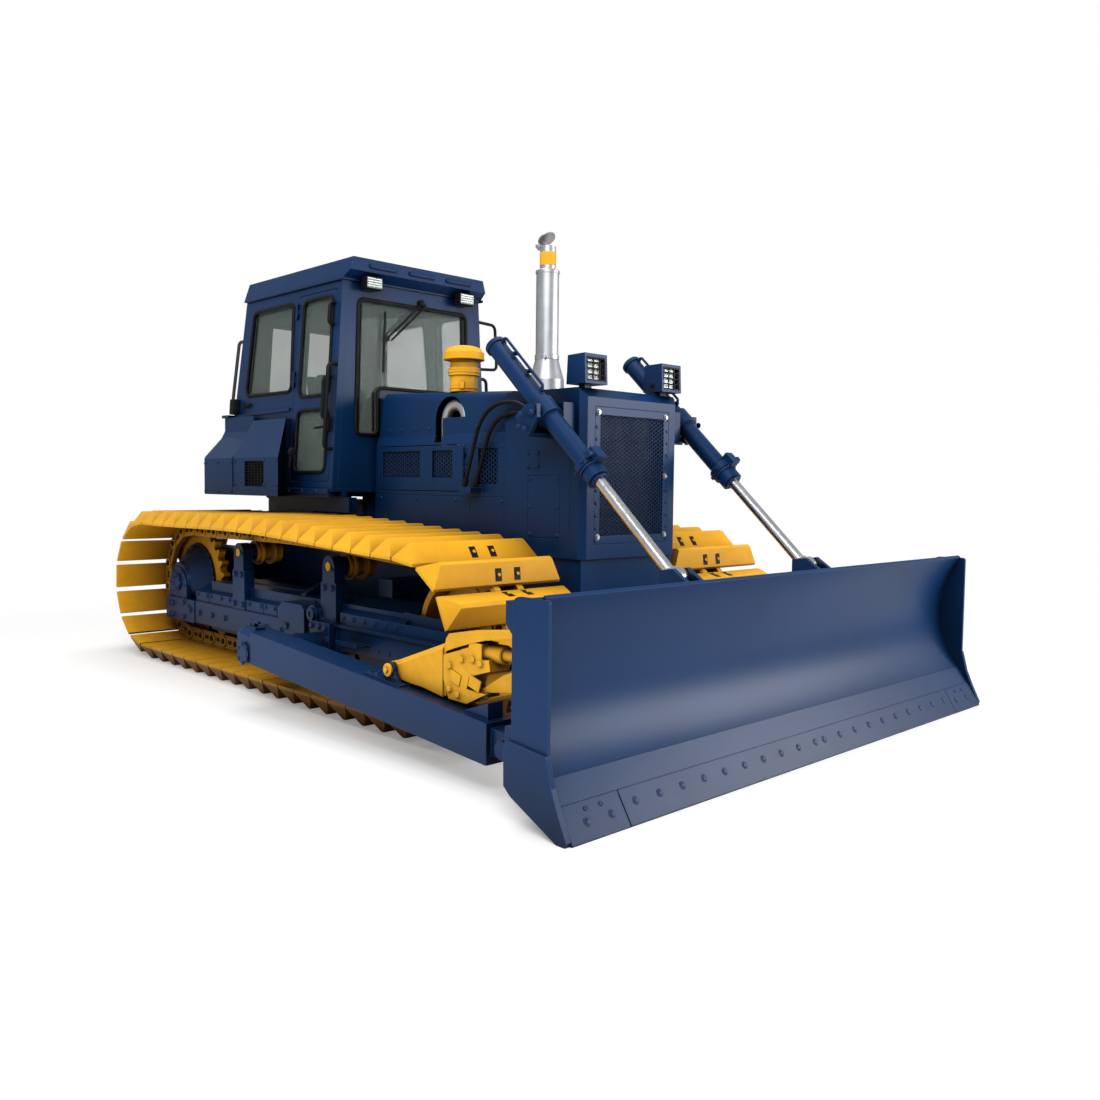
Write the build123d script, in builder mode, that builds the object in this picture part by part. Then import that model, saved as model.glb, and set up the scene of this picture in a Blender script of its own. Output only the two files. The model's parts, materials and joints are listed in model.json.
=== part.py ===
from build123d import *
from math import asin, atan2, cos, degrees, hypot, pi, radians, sin, tan
import os

os.makedirs("parts", exist_ok=True)

# Crawler dozer with a straight blade and wide swamp shoes.
# Millimetres. +X is forward, +Y is the machine's left, +Z is up; the ground is Z = 0.
# Right-hand pieces are drawn on the -Y side and mirrored to the left.

# ---------------------------------------------------------------- overall
overall_length = 6000.0
roof_height = 3115.0
fit_gap = 0.3          # between pieces that seat on each other with curved faces
run_gap = 0.1          # radial, shaft in bore
move_gap = 6.0         # between pieces that move past each other

# ---------------------------------------------------------------- tracks
track_gauge = 1930.0
shoe_width = 950.0
shoe_offset = 60.0        # the shoes reach further outboard of the chain than inboard
shoe_height = 97.0
shoe_plate = 18.0
shoe_tip_width = 26.0
shoe_end_slope = 55.0
shoe_gap = 12.0
link_pitch = 203.2
link_count = 48
link_half_height = 50.0
link_rail_spacing = 176.0
link_rail_width = 44.0
bushing_radius = 30.0
sprocket_teeth = 27
idler_tread_radius = 338.0
run_raise = 39.0          # how far the carriers lift the middle of the upper run
chain_y = track_gauge / 2
shoe_y = chain_y + shoe_offset
track_outer_y = shoe_y + shoe_width / 2
pin_line = shoe_height + shoe_plate + link_half_height
sprocket_radius = link_pitch / 2 / sin(2 * pi / sprocket_teeth)
idler_radius = hypot(idler_tread_radius + link_half_height, link_pitch / 2)
sprocket_z = pin_line + sprocket_radius
idler_z = pin_line + idler_radius


def arc_length(radius, angle):
    """Length of chain, in pins set on chords, that wraps this angle of a wheel."""
    return angle / (2 * asin(link_pitch / 2 / radius)) * link_pitch


chain_length = link_count * link_pitch
run_length = chain_length / 2 - pi * (sprocket_radius + idler_radius) / 2
for _ in range(6):
    fall = atan2(sprocket_radius - idler_radius, run_length)
    wrap = arc_length(idler_radius, pi - 2 * fall) + arc_length(sprocket_radius, pi + 2 * fall)
    run_length = (chain_length - wrap) / 2
sprocket_x, idler_x = 0.0, run_length
idler_wrap = arc_length(idler_radius, pi - 2 * fall)


def pin_place(distance):
    """Where a link pin lies after this length of chain, starting under the sprocket."""
    distance %= chain_length
    if distance < run_length:
        return sprocket_x + distance, pin_line
    distance -= run_length
    if distance < idler_wrap:
        turn = distance / idler_wrap * (pi - 2 * fall) - pi / 2
        return idler_x + idler_radius * cos(turn), idler_z + idler_radius * sin(turn)
    distance -= idler_wrap
    top = pi / 2 - 2 * fall
    if distance < run_length:
        start_x = idler_x + idler_radius * cos(top)
        start_z = idler_z + idler_radius * sin(top)
        lift = run_raise * sin(pi * distance / run_length) ** 2
        return start_x - distance * sin(top), start_z + distance * cos(top) + lift
    turn = top + (distance - run_length) / (chain_length - 2 * run_length - idler_wrap) * (pi + 2 * fall)
    return sprocket_x + sprocket_radius * cos(turn), sprocket_z + sprocket_radius * sin(turn)


pins = [pin_place(number * link_pitch) for number in range(link_count)]


def link_place(number):
    """Middle of a link on the pin line, and its heading."""
    (x0, z0), (x1, z1) = pins[number % link_count], pins[(number + 1) % link_count]
    return (x0 + x1) / 2, (z0 + z1) / 2, atan2(z1 - z0, x1 - x0)


def shoe_tips(number):
    """How far forward the two corners of a shoe's tip lie."""
    x, _, heading = link_place(number)
    return [x + pin_line * sin(heading) + side * shoe_tip_width / 2 * cos(heading) for side in (-1, 1)]


# The loop, drawn about the sprocket so far, moves until its rearmost shoe meets the overall length.
shift = -overall_length / 2 - min(tip for number in range(link_count) for tip in shoe_tips(number))
sprocket_x, idler_x = sprocket_x + shift, idler_x + shift
pins = [(x + shift, z) for x, z in pins]


def ring_corner(number, outward):
    """Corner of a closed band that runs parallel to the links, outward from the pin line."""
    before = link_place(number - 1)[2]
    turn = (link_place(number)[2] - before + pi) % (2 * pi) - pi
    reach = outward / cos(turn / 2)
    return pins[number][0] + reach * sin(before + turn / 2), pins[number][1] - reach * cos(before + turn / 2)


# ---------------------------------------------------------------- track frame
roller_tread_radius = 105.0
roller_flange_radius = 122.0
roller_shaft_radius = 36.0
roller_count = 7
roller_first_x = 620.0
roller_last_x = -1830.0
carrier_radius = 85.0
carrier_x = (-1335.0, -66.0)
carrier_shaft_radius = 30.0
carrier_hub_radius = 64.0
post_y, post_thickness, post_top_radius = 1098.0, 82.0, 72.0
frame_wall = 22.0
frame_half_width = 165.0
frame_beam_low = 450.0
frame_beam_high = 655.0
frame_front_x = 780.0
frame_rear_x = -1905.0
girder_y0, girder_y1 = 1130.0, 1190.0
girder_low, girder_high = 300.0, 476.0
girder_rear_x, girder_front_x = -2600.0, -480.0
cover_y = 1172.0          # outboard face of the soil-shedding covers
cover_lip, cover_slope_y = 555.0, 945.0
cover_spans = ((-2080.0, -1855.0), (-1843.0, -975.0), (-965.0, -773.0), (-763.0, -650.0))
housing_rear_x, housing_front_x = 72.0, 776.0
housing_lip, housing_high, housing_slope_y = 590.0, 700.0, 985.0
housing_y = 1175.0
rail_low = pin_line + link_half_height
roller_z = rail_low + roller_tread_radius + fit_gap
roller_pitch = (roller_first_x - roller_last_x) / (roller_count - 1)
roller_places = [roller_last_x + number * roller_pitch for number in range(roller_count)]

# ---------------------------------------------------------------- main frame and drive
hull_half_width = 430.0
hull_low = 480.0
hull_high = 1000.0
hull_front_x = 1560.0
hull_rear_x = -2250.0
rear_case_high = 1300.0
rear_case_front_x = -1500.0
hull_wall = 30.0
final_drive_radius = 300.0
equalizer_x = 300.0
equalizer_high = 820.0
pivot_shaft_x = -1750.0
pivot_shaft_z = 575.0
pivot_shaft_radius = 75.0

engine_rear_x, engine_front_x = 60.0, 1120.0
engine_low, engine_high, engine_half = 850.0, 1700.0, 320.0

# ---------------------------------------------------------------- blade and its arms
blade_width = 3970.0
blade_high = 990.0
blade_lean = 160.0        # from the cutting edge back to the top of the moldboard
moldboard_radius = 600.0
moldboard_plate = 20.0
edge_plate = 32.0
end_plate = 28.0
edge_x = overall_length / 2
edge_high = 230.0
arm_y = 1600.0
arm_width = 180.0
arm_depth = 200.0
arm_pivot_x = -100.0
arm_pivot_z = 365.0
arm_rear_x = -194.0
arm_seam_x, arm_seam_z = -4.0, 410.0      # middle line of the beam, at its rear block
arm_front_x, arm_front_z = 2262.0, 243.0  # and at its front end
arm_pin_radius = 52.0
arm_collar_radius = 86.0
blade_half = blade_width / 2
arm_pin_x, arm_pin_z = edge_x - 593.0, 250.0
lift_y = 640.0
lift_eye_x = edge_x - 551.0
lift_eye_z = 965.0
lift_eye_radius = 62.0
lift_pin_radius = 32.0

# ---------------------------------------------------------------- lift cylinders
yoke_x = 1459.0
yoke_z = 1885.0
barrel_radius = 60.0
barrel_bore = 46.0
rod_radius = 33.0
barrel_back = 634.0       # behind the yoke's axis
barrel_front = 588.0      # ahead of it
collar_radius = 78.0
collar_length = 120.0
trunnion_radius = 30.0
rod_inner_end = 190.0     # from the yoke's axis, blade on the ground
lug_plate = 30.0
lift_reach = hypot(lift_eye_x - yoke_x, lift_eye_z - yoke_z)
lift_slope = atan2(lift_eye_z - yoke_z, lift_eye_x - yoke_x)

# ---------------------------------------------------------------- hood and radiator guard
hood_half = 440.0
hood_top_half = 420.0
hood_rear_x = -570.0
hood_front_x = 886.0
hood_high_rear = 2120.0
hood_high_front = 2060.0
hood_sheet = 8.0
shoulder_z = 1790.0
shoulder_low_z = 1726.0
door_low_z = 1396.0
door_high_z = 1716.0
sill_low_z = hull_high + fit_gap
engine_door_rear_x = -540.0
engine_door_front_x = 458.0
side_door_sheet = 24.0
guard_half = 450.0
guard_front_x = 1585.0
guard_low = hull_high + fit_gap
guard_high = 2040.0
guard_wall = 28.0
guard_corner = 36.0
grille_half = 350.0
grille_low = 1090.0
grille_high = 1930.0
grille_plate = 10.0

# ---------------------------------------------------------------- cab
cab_front_x = -710.0
cab_floor_z = 1410.0
cab_wall = 50.0
floor_plate = 35.0
cab_half_low = 752.0
cab_half_high = 655.0
cab_top_z = 2960.0
cab_rear_high_x = -2180.0
cab_rear_low_x = -2300.0
cab_rear_knee_z = 2035.0
door_rear_x = -1330.0
door_front_x = -762.0
door_low = 1455.0
door_high = 2900.0
door_gap = 6.0
glass = 6.0
roof_overhang = 96.0
roof_skirt = 150.0
roof_sheet = 30.0
platform_low = 1340.0
box_half, box_top_half = 950.0, 762.0
box_shoulder_z, box_top_z = 1640.0, 1950.0
box_rear_x, box_front_x, box_corner_x = -1880.0, -1152.0, -1358.0
box_ledge_z = 1400.0
box_inset = 7.0
vent_x, vent_z, vent_width, vent_height = -1535.0, 1512.0, 310.0, 200.0
tank_rear_x, tank_top_z = -2400.0, 1990.0
tank_shoulder_z = 1852.0
seam = 8.0                # shadow gap between bolted panels
hinge_length = 120.0
hinge_radius = 11.0
hinge_pin = 6.0
hinge_leaf = 28.0
hinge_plate = 5.0
hinge_slack = 1.0
cab_lean = degrees(atan2(cab_half_low - cab_half_high, cab_top_z - cab_floor_z))


def save(piece, label):
    """Name a finished piece and write it."""
    piece.part.label = label
    export_step(piece.part, f"parts/{label}.step")


def save_pair(piece, label):
    """Write a right-hand piece and its mirror image for the left."""
    save(piece, f"right_{label}")
    with BuildPart() as left:
        mirror(piece.part, about=Plane.XZ)
    save(left, f"left_{label}")


def save_both(piece, label):
    """Write a right-hand piece and its mirror image as one node."""
    with BuildPart() as both:
        add(piece.part)
        mirror(piece.part, about=Plane.XZ)
    save(both, label)


def side_plane(y):
    """Side-view plane on the right of the machine: X along, Z up, extruding outboard."""
    return Plane(origin=(0, -y, 0), x_dir=(1, 0, 0), z_dir=(0, -1, 0))


def side_cut(y, thickness, points):
    """Plate or bar with this side outline, from y outboard."""
    with BuildPart() as plate:
        with BuildSketch(side_plane(y)):
            with BuildLine():
                Polyline(*points, close=True)
            make_face()
        extrude(amount=thickness)
    return plate.part


def turned(x, z, stations):
    """Solid turned about a cross shaft at x, z; stations run (distance outboard, radius)."""
    with BuildPart() as solid:
        with BuildSketch(Plane(origin=(x, 0, z), x_dir=(0, -1, 0), z_dir=(1, 0, 0))):
            with BuildLine():
                Polyline((stations[0][0], 0), *stations, (stations[-1][0], 0), close=True)
            make_face()
        revolve(axis=Axis((x, 0, z), (0, 1, 0)))
    return solid.part


def spun(origin, direction, outline):
    """Solid of revolution about a line; the closed outline runs (distance along, radius)."""
    with BuildPart() as solid:
        with BuildSketch(Plane(origin=origin, x_dir=direction, z_dir=(0, -1, 0))):
            with BuildLine():
                Polyline(*outline, close=True)
            make_face()
        revolve(axis=Axis(origin, direction))
    return solid.part


def cross_bar(x, z, radius, y0, y1):
    """Round bar across the machine; y runs outboard on the right."""
    with BuildPart() as bar:
        with Locations(Plane(origin=(x, -(y0 + y1) / 2, z), z_dir=(0, -1, 0))):
            Cylinder(radius, y1 - y0)
    return bar.part


def hinge(seat):
    """Butt hinge on a flush pair of panels: x points at the moving panel, y along the pin, z outwards.
    Returns the fixed half with its pin, and the moving half."""
    third, halves = hinge_length / 6, []
    for side, spans in ((-1, ((-3 * third, -third), (third, 3 * third))), (1, ((hinge_slack - third, third - hinge_slack),))):
        with BuildPart() as half:
            for low, high in spans:
                with BuildSketch(seat):
                    with Locations((side * hinge_leaf / 2, (low + high) / 2)):
                        Rectangle(hinge_leaf, high - low)
                extrude(amount=hinge_plate)
                with Locations(seat * Location((0, (low + high) / 2, hinge_radius), (90, 0, 0))):
                    Cylinder(hinge_radius, high - low)
            with Locations(seat * Location((0, 0, hinge_radius), (90, 0, 0))):
                if side > 0:
                    Cylinder(hinge_pin + run_gap, hinge_length, mode=Mode.SUBTRACT)
                else:
                    Cylinder(hinge_pin, hinge_length)
        halves.append(half.part)
    return halves


def pipe(radius, points, bend):
    """Round bar or hose along straight runs joined by bends of this radius."""
    with BuildPart() as bar:
        with BuildLine() as route:
            FilletPolyline(*points, radius=bend)
        with BuildSketch(Plane(origin=route.line @ 0, z_dir=route.line % 0)):
            Circle(radius)
        sweep(path=route.line)
    return bar.part


def block(x0, x1, y0, y1, z0, z1):
    """Rectangular bar between two corners; y runs outboard on the right."""
    with BuildPart() as bar:
        with Locations(((x0 + x1) / 2, -(y0 + y1) / 2, (z0 + z1) / 2)):
            Box(x1 - x0, y1 - y0, z1 - z0)
    return bar.part


# ================================================================ tracks
with BuildPart() as shoe:
    # triangular bar on a flat base plate, its ends sloped in towards the tip
    foot, half = (link_pitch - shoe_gap) / 2, shoe_width / 2
    with BuildSketch(Plane.XZ.offset(-half)):
        with BuildLine():
            Polyline((-foot, 0), (foot, 0), (foot, shoe_plate), (shoe_tip_width / 2, shoe_plate + shoe_height),
                     (-shoe_tip_width / 2, shoe_plate + shoe_height), (-foot, shoe_plate), close=True)
        make_face()
    extrude(amount=shoe_width)
    with BuildSketch(Plane.YZ.offset(-foot)):
        with BuildLine():
            Polyline((-half, 0), (half, 0), (half, shoe_plate), (half - shoe_end_slope, shoe_plate + shoe_height),
                     (-half + shoe_end_slope, shoe_plate + shoe_height), (-half, shoe_plate), close=True)
        make_face()
    extrude(amount=2 * foot, mode=Mode.INTERSECT)

with BuildPart() as track:
    for side in (-1, 1):
        rail_y = chain_y + side * link_rail_spacing / 2 - link_rail_width / 2
        with BuildSketch(side_plane(rail_y)):
            with BuildLine():
                Polyline(*[ring_corner(k, link_half_height) for k in range(link_count)], close=True)
            make_face()
            with BuildLine():
                Polyline(*[ring_corner(k, -link_half_height) for k in range(link_count)], close=True)
            make_face(mode=Mode.SUBTRACT)
        extrude(amount=link_rail_width)
    for number in range(link_count):
        x, z, heading = link_place(number)
        out = (sin(heading), 0, -cos(heading))
        seat = Plane(origin=(x + link_half_height * out[0], -shoe_y, z + link_half_height * out[2]),
                     x_dir=(cos(heading), 0, sin(heading)), z_dir=out)
        with Locations(seat):
            add(shoe.part)
save_pair(track, "track")


def top_run(x):
    """Height of the pin line on the upper run."""
    top = pi / 2 - 2 * fall
    start_x, start_z = idler_x + idler_radius * cos(top), idler_z + idler_radius * sin(top)
    share = (start_x - x) / (run_length * sin(top))
    return start_z + share * run_length * cos(top) + run_raise * sin(pi * share) ** 2


carrier_z = [top_run(x) - link_half_height - carrier_radius - 4 * fit_gap for x in carrier_x]


with BuildPart() as rollers:
    flange_y = (link_rail_spacing - link_rail_width) / 2 - move_gap
    tread_y = (link_rail_spacing + link_rail_width) / 2 + move_gap
    for x in roller_places:
        add(turned(x, roller_z, [
            (chain_y - frame_half_width + frame_wall + fit_gap, roller_shaft_radius),
            (chain_y - tread_y, roller_shaft_radius), (chain_y - tread_y, roller_tread_radius),
            (chain_y - flange_y, roller_tread_radius), (chain_y - flange_y, roller_flange_radius),
            (chain_y + flange_y, roller_flange_radius), (chain_y + flange_y, roller_tread_radius),
            (chain_y + tread_y, roller_tread_radius), (chain_y + tread_y, roller_shaft_radius),
            (chain_y + frame_half_width - frame_wall - fit_gap, roller_shaft_radius)]))
    for x, z in zip(carrier_x, carrier_z):
        rim = carrier_radius + 14
        add(turned(x, z, [(chain_y - tread_y, carrier_radius), (chain_y - flange_y, carrier_radius),
                          (chain_y - flange_y, rim), (chain_y - flange_y + 22, rim),
                          (chain_y - flange_y + 30, carrier_radius - 12),
                          (chain_y + flange_y - 30, carrier_radius - 12), (chain_y + flange_y - 22, rim),
                          (chain_y + flange_y, rim), (chain_y + flange_y, carrier_radius),
                          (post_y - 42, carrier_radius), (post_y - 42, carrier_shaft_radius),
                          (post_y + post_thickness + 5, carrier_shaft_radius)]))
save_both(rollers, "track_rollers")


def frame_band(x0, x1, lip, high, slope_y, outer_y):
    """Length of the frame's top: an upright lip outboard, a slope up from it, then a flat top."""
    with BuildPart() as band:
        with BuildSketch(Plane.YZ.offset(x0)):
            with BuildLine():
                Polyline((frame_half_width - chain_y, frame_beam_low), (frame_half_width - chain_y, high),
                         (-slope_y, high), (-outer_y, lip), (-outer_y, girder_high - 4),
                         (-girder_y0, frame_beam_low), close=True)
            make_face()
        extrude(amount=x1 - x0)
    return band.part


with BuildPart() as track_frame:
    inside, outside = chain_y - frame_half_width, chain_y + frame_half_width
    # closed box beam, its side plates carried down past the roller shafts and on beside the idler
    add(block(frame_rear_x, frame_front_x, inside, outside - 8, frame_beam_low, frame_beam_high - 10))
    for y in (inside, outside - frame_wall):
        add(side_cut(y, frame_wall, [(frame_rear_x, frame_beam_low), (roller_last_x - 60, roller_z - 60),
                                     (roller_first_x + 120, roller_z - 60), (frame_front_x, frame_beam_low)]))
        add(side_cut(y, frame_wall, [(frame_front_x - 60, frame_beam_low + 20), (idler_x + 110, idler_z - 75),
                                     (idler_x + 110, idler_z + 75), (frame_front_x - 60, frame_beam_high)]))
    # holes for the roller shafts and the idler's shaft
    with Locations(*[Plane(origin=(x, -chain_y, roller_z), z_dir=(0, -1, 0)) for x in roller_places]):
        Cylinder(roller_shaft_radius + fit_gap, 2 * frame_half_width + 10, mode=Mode.SUBTRACT)
    add(cross_bar(idler_x, idler_z, roller_shaft_radius + fit_gap, inside - 10, outside + 10), mode=Mode.SUBTRACT)
    # covers that shed soil, in lengths with open seams between them
    for x0, x1 in cover_spans:
        add(frame_band(x0, x1, cover_lip, frame_beam_high, cover_slope_y, cover_y))
    add(block(cover_spans[0][0] - 10, frame_rear_x, inside - 10, chain_y + 40, frame_beam_low - 10,
              frame_beam_high + 10), mode=Mode.SUBTRACT)
    add(frame_band(housing_rear_x, housing_front_x, housing_lip, housing_high, housing_slope_y, housing_y))
    add(side_cut(outside, housing_y - outside, [
        (housing_front_x - 40, girder_high), (idler_x + 60, girder_high), (idler_x + 110, girder_high + 40),
        (idler_x + 80, housing_lip), (housing_front_x - 40, housing_lip)]))
    add(cross_bar(pivot_shaft_x, pivot_shaft_z, pivot_shaft_radius + fit_gap, inside - 10, outside - 18),
        mode=Mode.SUBTRACT)
    # outboard girder, from the final drive's outer bearing forward, and the lower lip beside the idler
    add(block(girder_rear_x, girder_front_x, girder_y0, girder_y1, girder_low, girder_high))
    add(side_cut(girder_y0, girder_y1 - girder_y0 - 6, [
        (girder_front_x, girder_low + 20), (arm_pivot_x + 60, girder_low + 10), (arm_pivot_x + 260, 342),
        (idler_x - 40, 350), (idler_x + 90, 440), (idler_x + 90, 498), (girder_front_x, 498)]))
    add(block(housing_rear_x - 40, idler_x + 90, girder_y0, girder_y1 + 12, 496, 512))
    # bolted bearing plate at the girder's rear end
    add(block(girder_rear_x, girder_rear_x + 530, girder_y0, girder_y1 + 8, girder_low - 8, girder_high))
    # posts and hubs that carry the upper rollers
    for x, z in zip(carrier_x, carrier_z):
        with BuildSketch(side_plane(post_y)):
            with BuildLine():
                Polyline((x - 95, girder_high - 10), (x + 90, girder_high - 10), (x + 90, 775), (x + 74, 784),
                         (x + post_top_radius, z), (x - post_top_radius, z), (x - 74, 784), (x - 95, 775), close=True)
            make_face()
            with Locations((x, z)):
                Circle(post_top_radius)
        extrude(amount=post_thickness)
        add(cross_bar(x, z, carrier_hub_radius, post_y - 40, post_y + 2))
        add(cross_bar(x, z, carrier_shaft_radius + fit_gap, post_y - 60, post_y + post_thickness + 2), mode=Mode.SUBTRACT)
    # casting and boss that close the recoil spring, and the lifting eye on the covers
    add(side_cut(girder_y0 - 30, 125, [(-655, girder_high), (-655, 556), (-606, 606), (-345, 606), (-305, 575),
                                       (-305, 412), (-470, 404), (-500, girder_high)]))
    add(block(-640, -320, girder_y0 - 40, girder_y0, 560, 640))
    add(turned(-225, 556, [(girder_y0 - 30, 62), (girder_y1 + 20, 62), (girder_y1 + 20, 44), (girder_y1 + 38, 44),
                           (girder_y1 + 38, 20), (girder_y1 + 30, 20)]))
    add(block(-310, -150, girder_y0 - 30, girder_y1, girder_low + 60, 600))
    with BuildSketch(Plane.YZ.offset(-560)):
        with BuildLine():
            Polyline((-1105, 580), (-1090, 660), (-965, 722), (-925, 722), (-925, 650), close=True)
        make_face()
    extrude(amount=46)
    # bolted bracket and trunnion that carry the push arm, with a step in front of them
    add(block(arm_pivot_x - 100, arm_pivot_x + 142, girder_y1 - 20, girder_y1 + 52, girder_low - 6, 520))
    add(turned(arm_pivot_x, arm_pivot_z, [
        (girder_y0, arm_collar_radius), (arm_y - move_gap, arm_collar_radius), (arm_y - move_gap, arm_pin_radius),
        (arm_y + arm_width + move_gap, arm_pin_radius)]))
    add(block(195, 440, girder_y1 - 10, girder_y1 + 100, 408, 420))
    add(block(195, 440, girder_y1 + 88, girder_y1 + 100, 408, 436))
save_both(track_frame, "track_frames")

with BuildPart() as idler:
    rim = idler_tread_radius - fit_gap
    add(turned(idler_x, idler_z, [
        (chain_y - frame_half_width + frame_wall + fit_gap, 90), (chain_y - 100, 90),
        (chain_y - 100, 110), (chain_y - 30, 130), (chain_y - 30, rim - 60), (chain_y - tread_y, rim - 40),
        (chain_y - tread_y, rim), (chain_y - flange_y, rim), (chain_y - flange_y, rim + 22),
        (chain_y + flange_y, rim + 22), (chain_y + flange_y, rim), (chain_y + tread_y, rim),
        (chain_y + tread_y, rim - 40), (chain_y + 30, rim - 60), (chain_y + 30, 130), (chain_y + 100, 110),
        (chain_y + 100, 90), (chain_y + frame_half_width - frame_wall - fit_gap, 90)]))
    with Locations(Plane(origin=(idler_x, -chain_y, idler_z), z_dir=(0, -1, 0))):
        Cylinder(roller_shaft_radius, 2 * frame_half_width)
save_both(idler, "idlers")

with BuildPart() as sprocket:
    root, crest, half_pitch = sprocket_radius - bushing_radius - 2, sprocket_radius + 16, pi / sprocket_teeth
    teeth = []
    for number in range(sprocket_teeth):
        middle = 2 * half_pitch * (number + 0.5) - pi / 2
        for turn, radius in ((-0.62, root), (-0.22, crest), (0.22, crest), (0.62, root)):
            teeth.append((radius * cos(middle + turn * half_pitch), radius * sin(middle + turn * half_pitch)))
    with BuildSketch(Plane(origin=(sprocket_x, -(chain_y - 30), sprocket_z), x_dir=(1, 0, 0), z_dir=(0, -1, 0))):
        with BuildLine():
            Polyline(*teeth, close=True)
        make_face()
        Circle(final_drive_radius + fit_gap, mode=Mode.SUBTRACT)
    extrude(amount=60)
save_both(sprocket, "sprockets")

bearing_half, bearing_cap_radius = 165.0, 72.0
with BuildPart() as final_drive:
    shell = chain_y + 30
    add(turned(sprocket_x, sprocket_z, [
        (hull_half_width + fit_gap, 260), (chain_y - 190, 300), (chain_y - 60, 300),
        (chain_y - 30 - fit_gap, 352), (chain_y - 30 - fit_gap, final_drive_radius), (shell, final_drive_radius),
        (shell + 4, final_drive_radius + 12), (shell + 18, final_drive_radius + 12),
        (shell + 22, final_drive_radius), (shell + 34, final_drive_radius - 12), (girder_y0 + 10, 172),
        (girder_y0 + 40, 160)]))
    # outer bearing: an arched block that stands on the girder
    with BuildSketch(side_plane(girder_y0 + 4)):
        with Locations((sprocket_x, sprocket_z - 42)):
            Circle(bearing_half)
        with BuildLine():
            Polyline((sprocket_x - bearing_half, girder_high + fit_gap), (sprocket_x + bearing_half, girder_high
                     + fit_gap), (sprocket_x + bearing_half, sprocket_z - 42), (sprocket_x - bearing_half,
                     sprocket_z - 42), close=True)
        make_face()
    extrude(amount=48)
    add(cross_bar(sprocket_x, sprocket_z, bearing_cap_radius, girder_y0 + 40, girder_y1 + 6))
    add(block(sprocket_x - 400, sprocket_x + 400, girder_y0 - 2, girder_y1 + 20, girder_low - 100,
              girder_high + fit_gap), mode=Mode.SUBTRACT)
save_both(final_drive, "final_drives")

# ================================================================ main frame
with BuildPart() as main_frame:
    add(side_cut(-hull_half_width, 2 * hull_half_width, [
        (hull_rear_x, hull_low + 90), (hull_rear_x + 120, hull_low), (hull_front_x - 200, hull_low),
        (hull_front_x, hull_low + 120), (hull_front_x, hull_high), (rear_case_front_x, hull_high),
        (rear_case_front_x, rear_case_high), (hull_rear_x, rear_case_high)]))
    # the engine bay is open to the top and front, between side rails, over the belly guard
    add(block(rear_case_front_x + 120, hull_front_x - 60, -hull_half_width + 80, hull_half_width - 80,
              hull_low + hull_wall, hull_high + 10), mode=Mode.SUBTRACT)
    # brackets that carry the tank
    for y in (-260, 200):
        add(block(hull_rear_x - 140, hull_rear_x + 10, y, y + 60, rear_case_high - 90, platform_low - fit_gap))
    # brackets that carry the engine
    for x in (engine_rear_x + 90, engine_front_x - 110):
        for y0, y1 in ((engine_half - 30, hull_half_width - 80), (80 - hull_half_width, 30 - engine_half)):
            add(block(x - 40, x + 40, y0, y1, engine_low - 60, engine_low))
    # saddle for the equalizer bar
    add(block(equalizer_x - 85, equalizer_x + 85, -hull_half_width - 5, hull_half_width + 5,
              hull_low - 5, equalizer_high + move_gap), mode=Mode.SUBTRACT)
    with Locations(Plane(origin=(pivot_shaft_x, 0, pivot_shaft_z), z_dir=(0, -1, 0))):
        Cylinder(pivot_shaft_radius, 2 * (chain_y + frame_half_width - 20))
save(main_frame, "main_frame")

# clevis for the towing pin, bolted to the back of the frame
bar_z, bar_half = 640.0, 70.0
with BuildPart() as drawbar:
    rear = hull_rear_x - fit_gap
    add(side_cut(-90, 180, [(rear, bar_z - 66), (rear, bar_z + 130), (rear - 130, bar_z + bar_half),
                            (rear - 330, bar_z + bar_half), (rear - 330, bar_z - bar_half),
                            (rear - 130, bar_z - bar_half)]))
    add(block(rear - 340, rear - 150, -100, 100, bar_z - 32, bar_z + 32), mode=Mode.SUBTRACT)
    with Locations((hull_rear_x - 250, 0, bar_z)):
        Cylinder(26, 200, mode=Mode.SUBTRACT)
save(drawbar, "drawbar")

with BuildPart() as equalizer:
    end_y, knee_y = chain_y + 10, chain_y - frame_half_width - 20
    seat_z = housing_high + fit_gap
    with BuildSketch(Plane.YZ.offset(equalizer_x - 75)):
        with BuildLine():
            Polyline((-end_y, seat_z), (-knee_y, seat_z), (-hull_half_width, seat_z - 100),
                     (hull_half_width, seat_z - 100), (knee_y, seat_z), (end_y, seat_z),
                     (end_y, equalizer_high), (-end_y, equalizer_high), close=True)
        make_face()
    extrude(amount=150)
save(equalizer, "equalizer_bar")

with BuildPart() as engine:
    add(block(engine_rear_x, engine_front_x, -engine_half, engine_half, engine_low + fit_gap, engine_high))
save(engine, "engine")


# ================================================================ push arms and blade

arm_angle = atan2(arm_front_z - arm_seam_z, arm_front_x - arm_seam_x)


def arm_edge(x, side):
    """Height of the beam's top (+1) or bottom (-1) edge."""
    return arm_seam_z + (x - arm_seam_x) * tan(arm_angle) + side * arm_depth / 2


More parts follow.
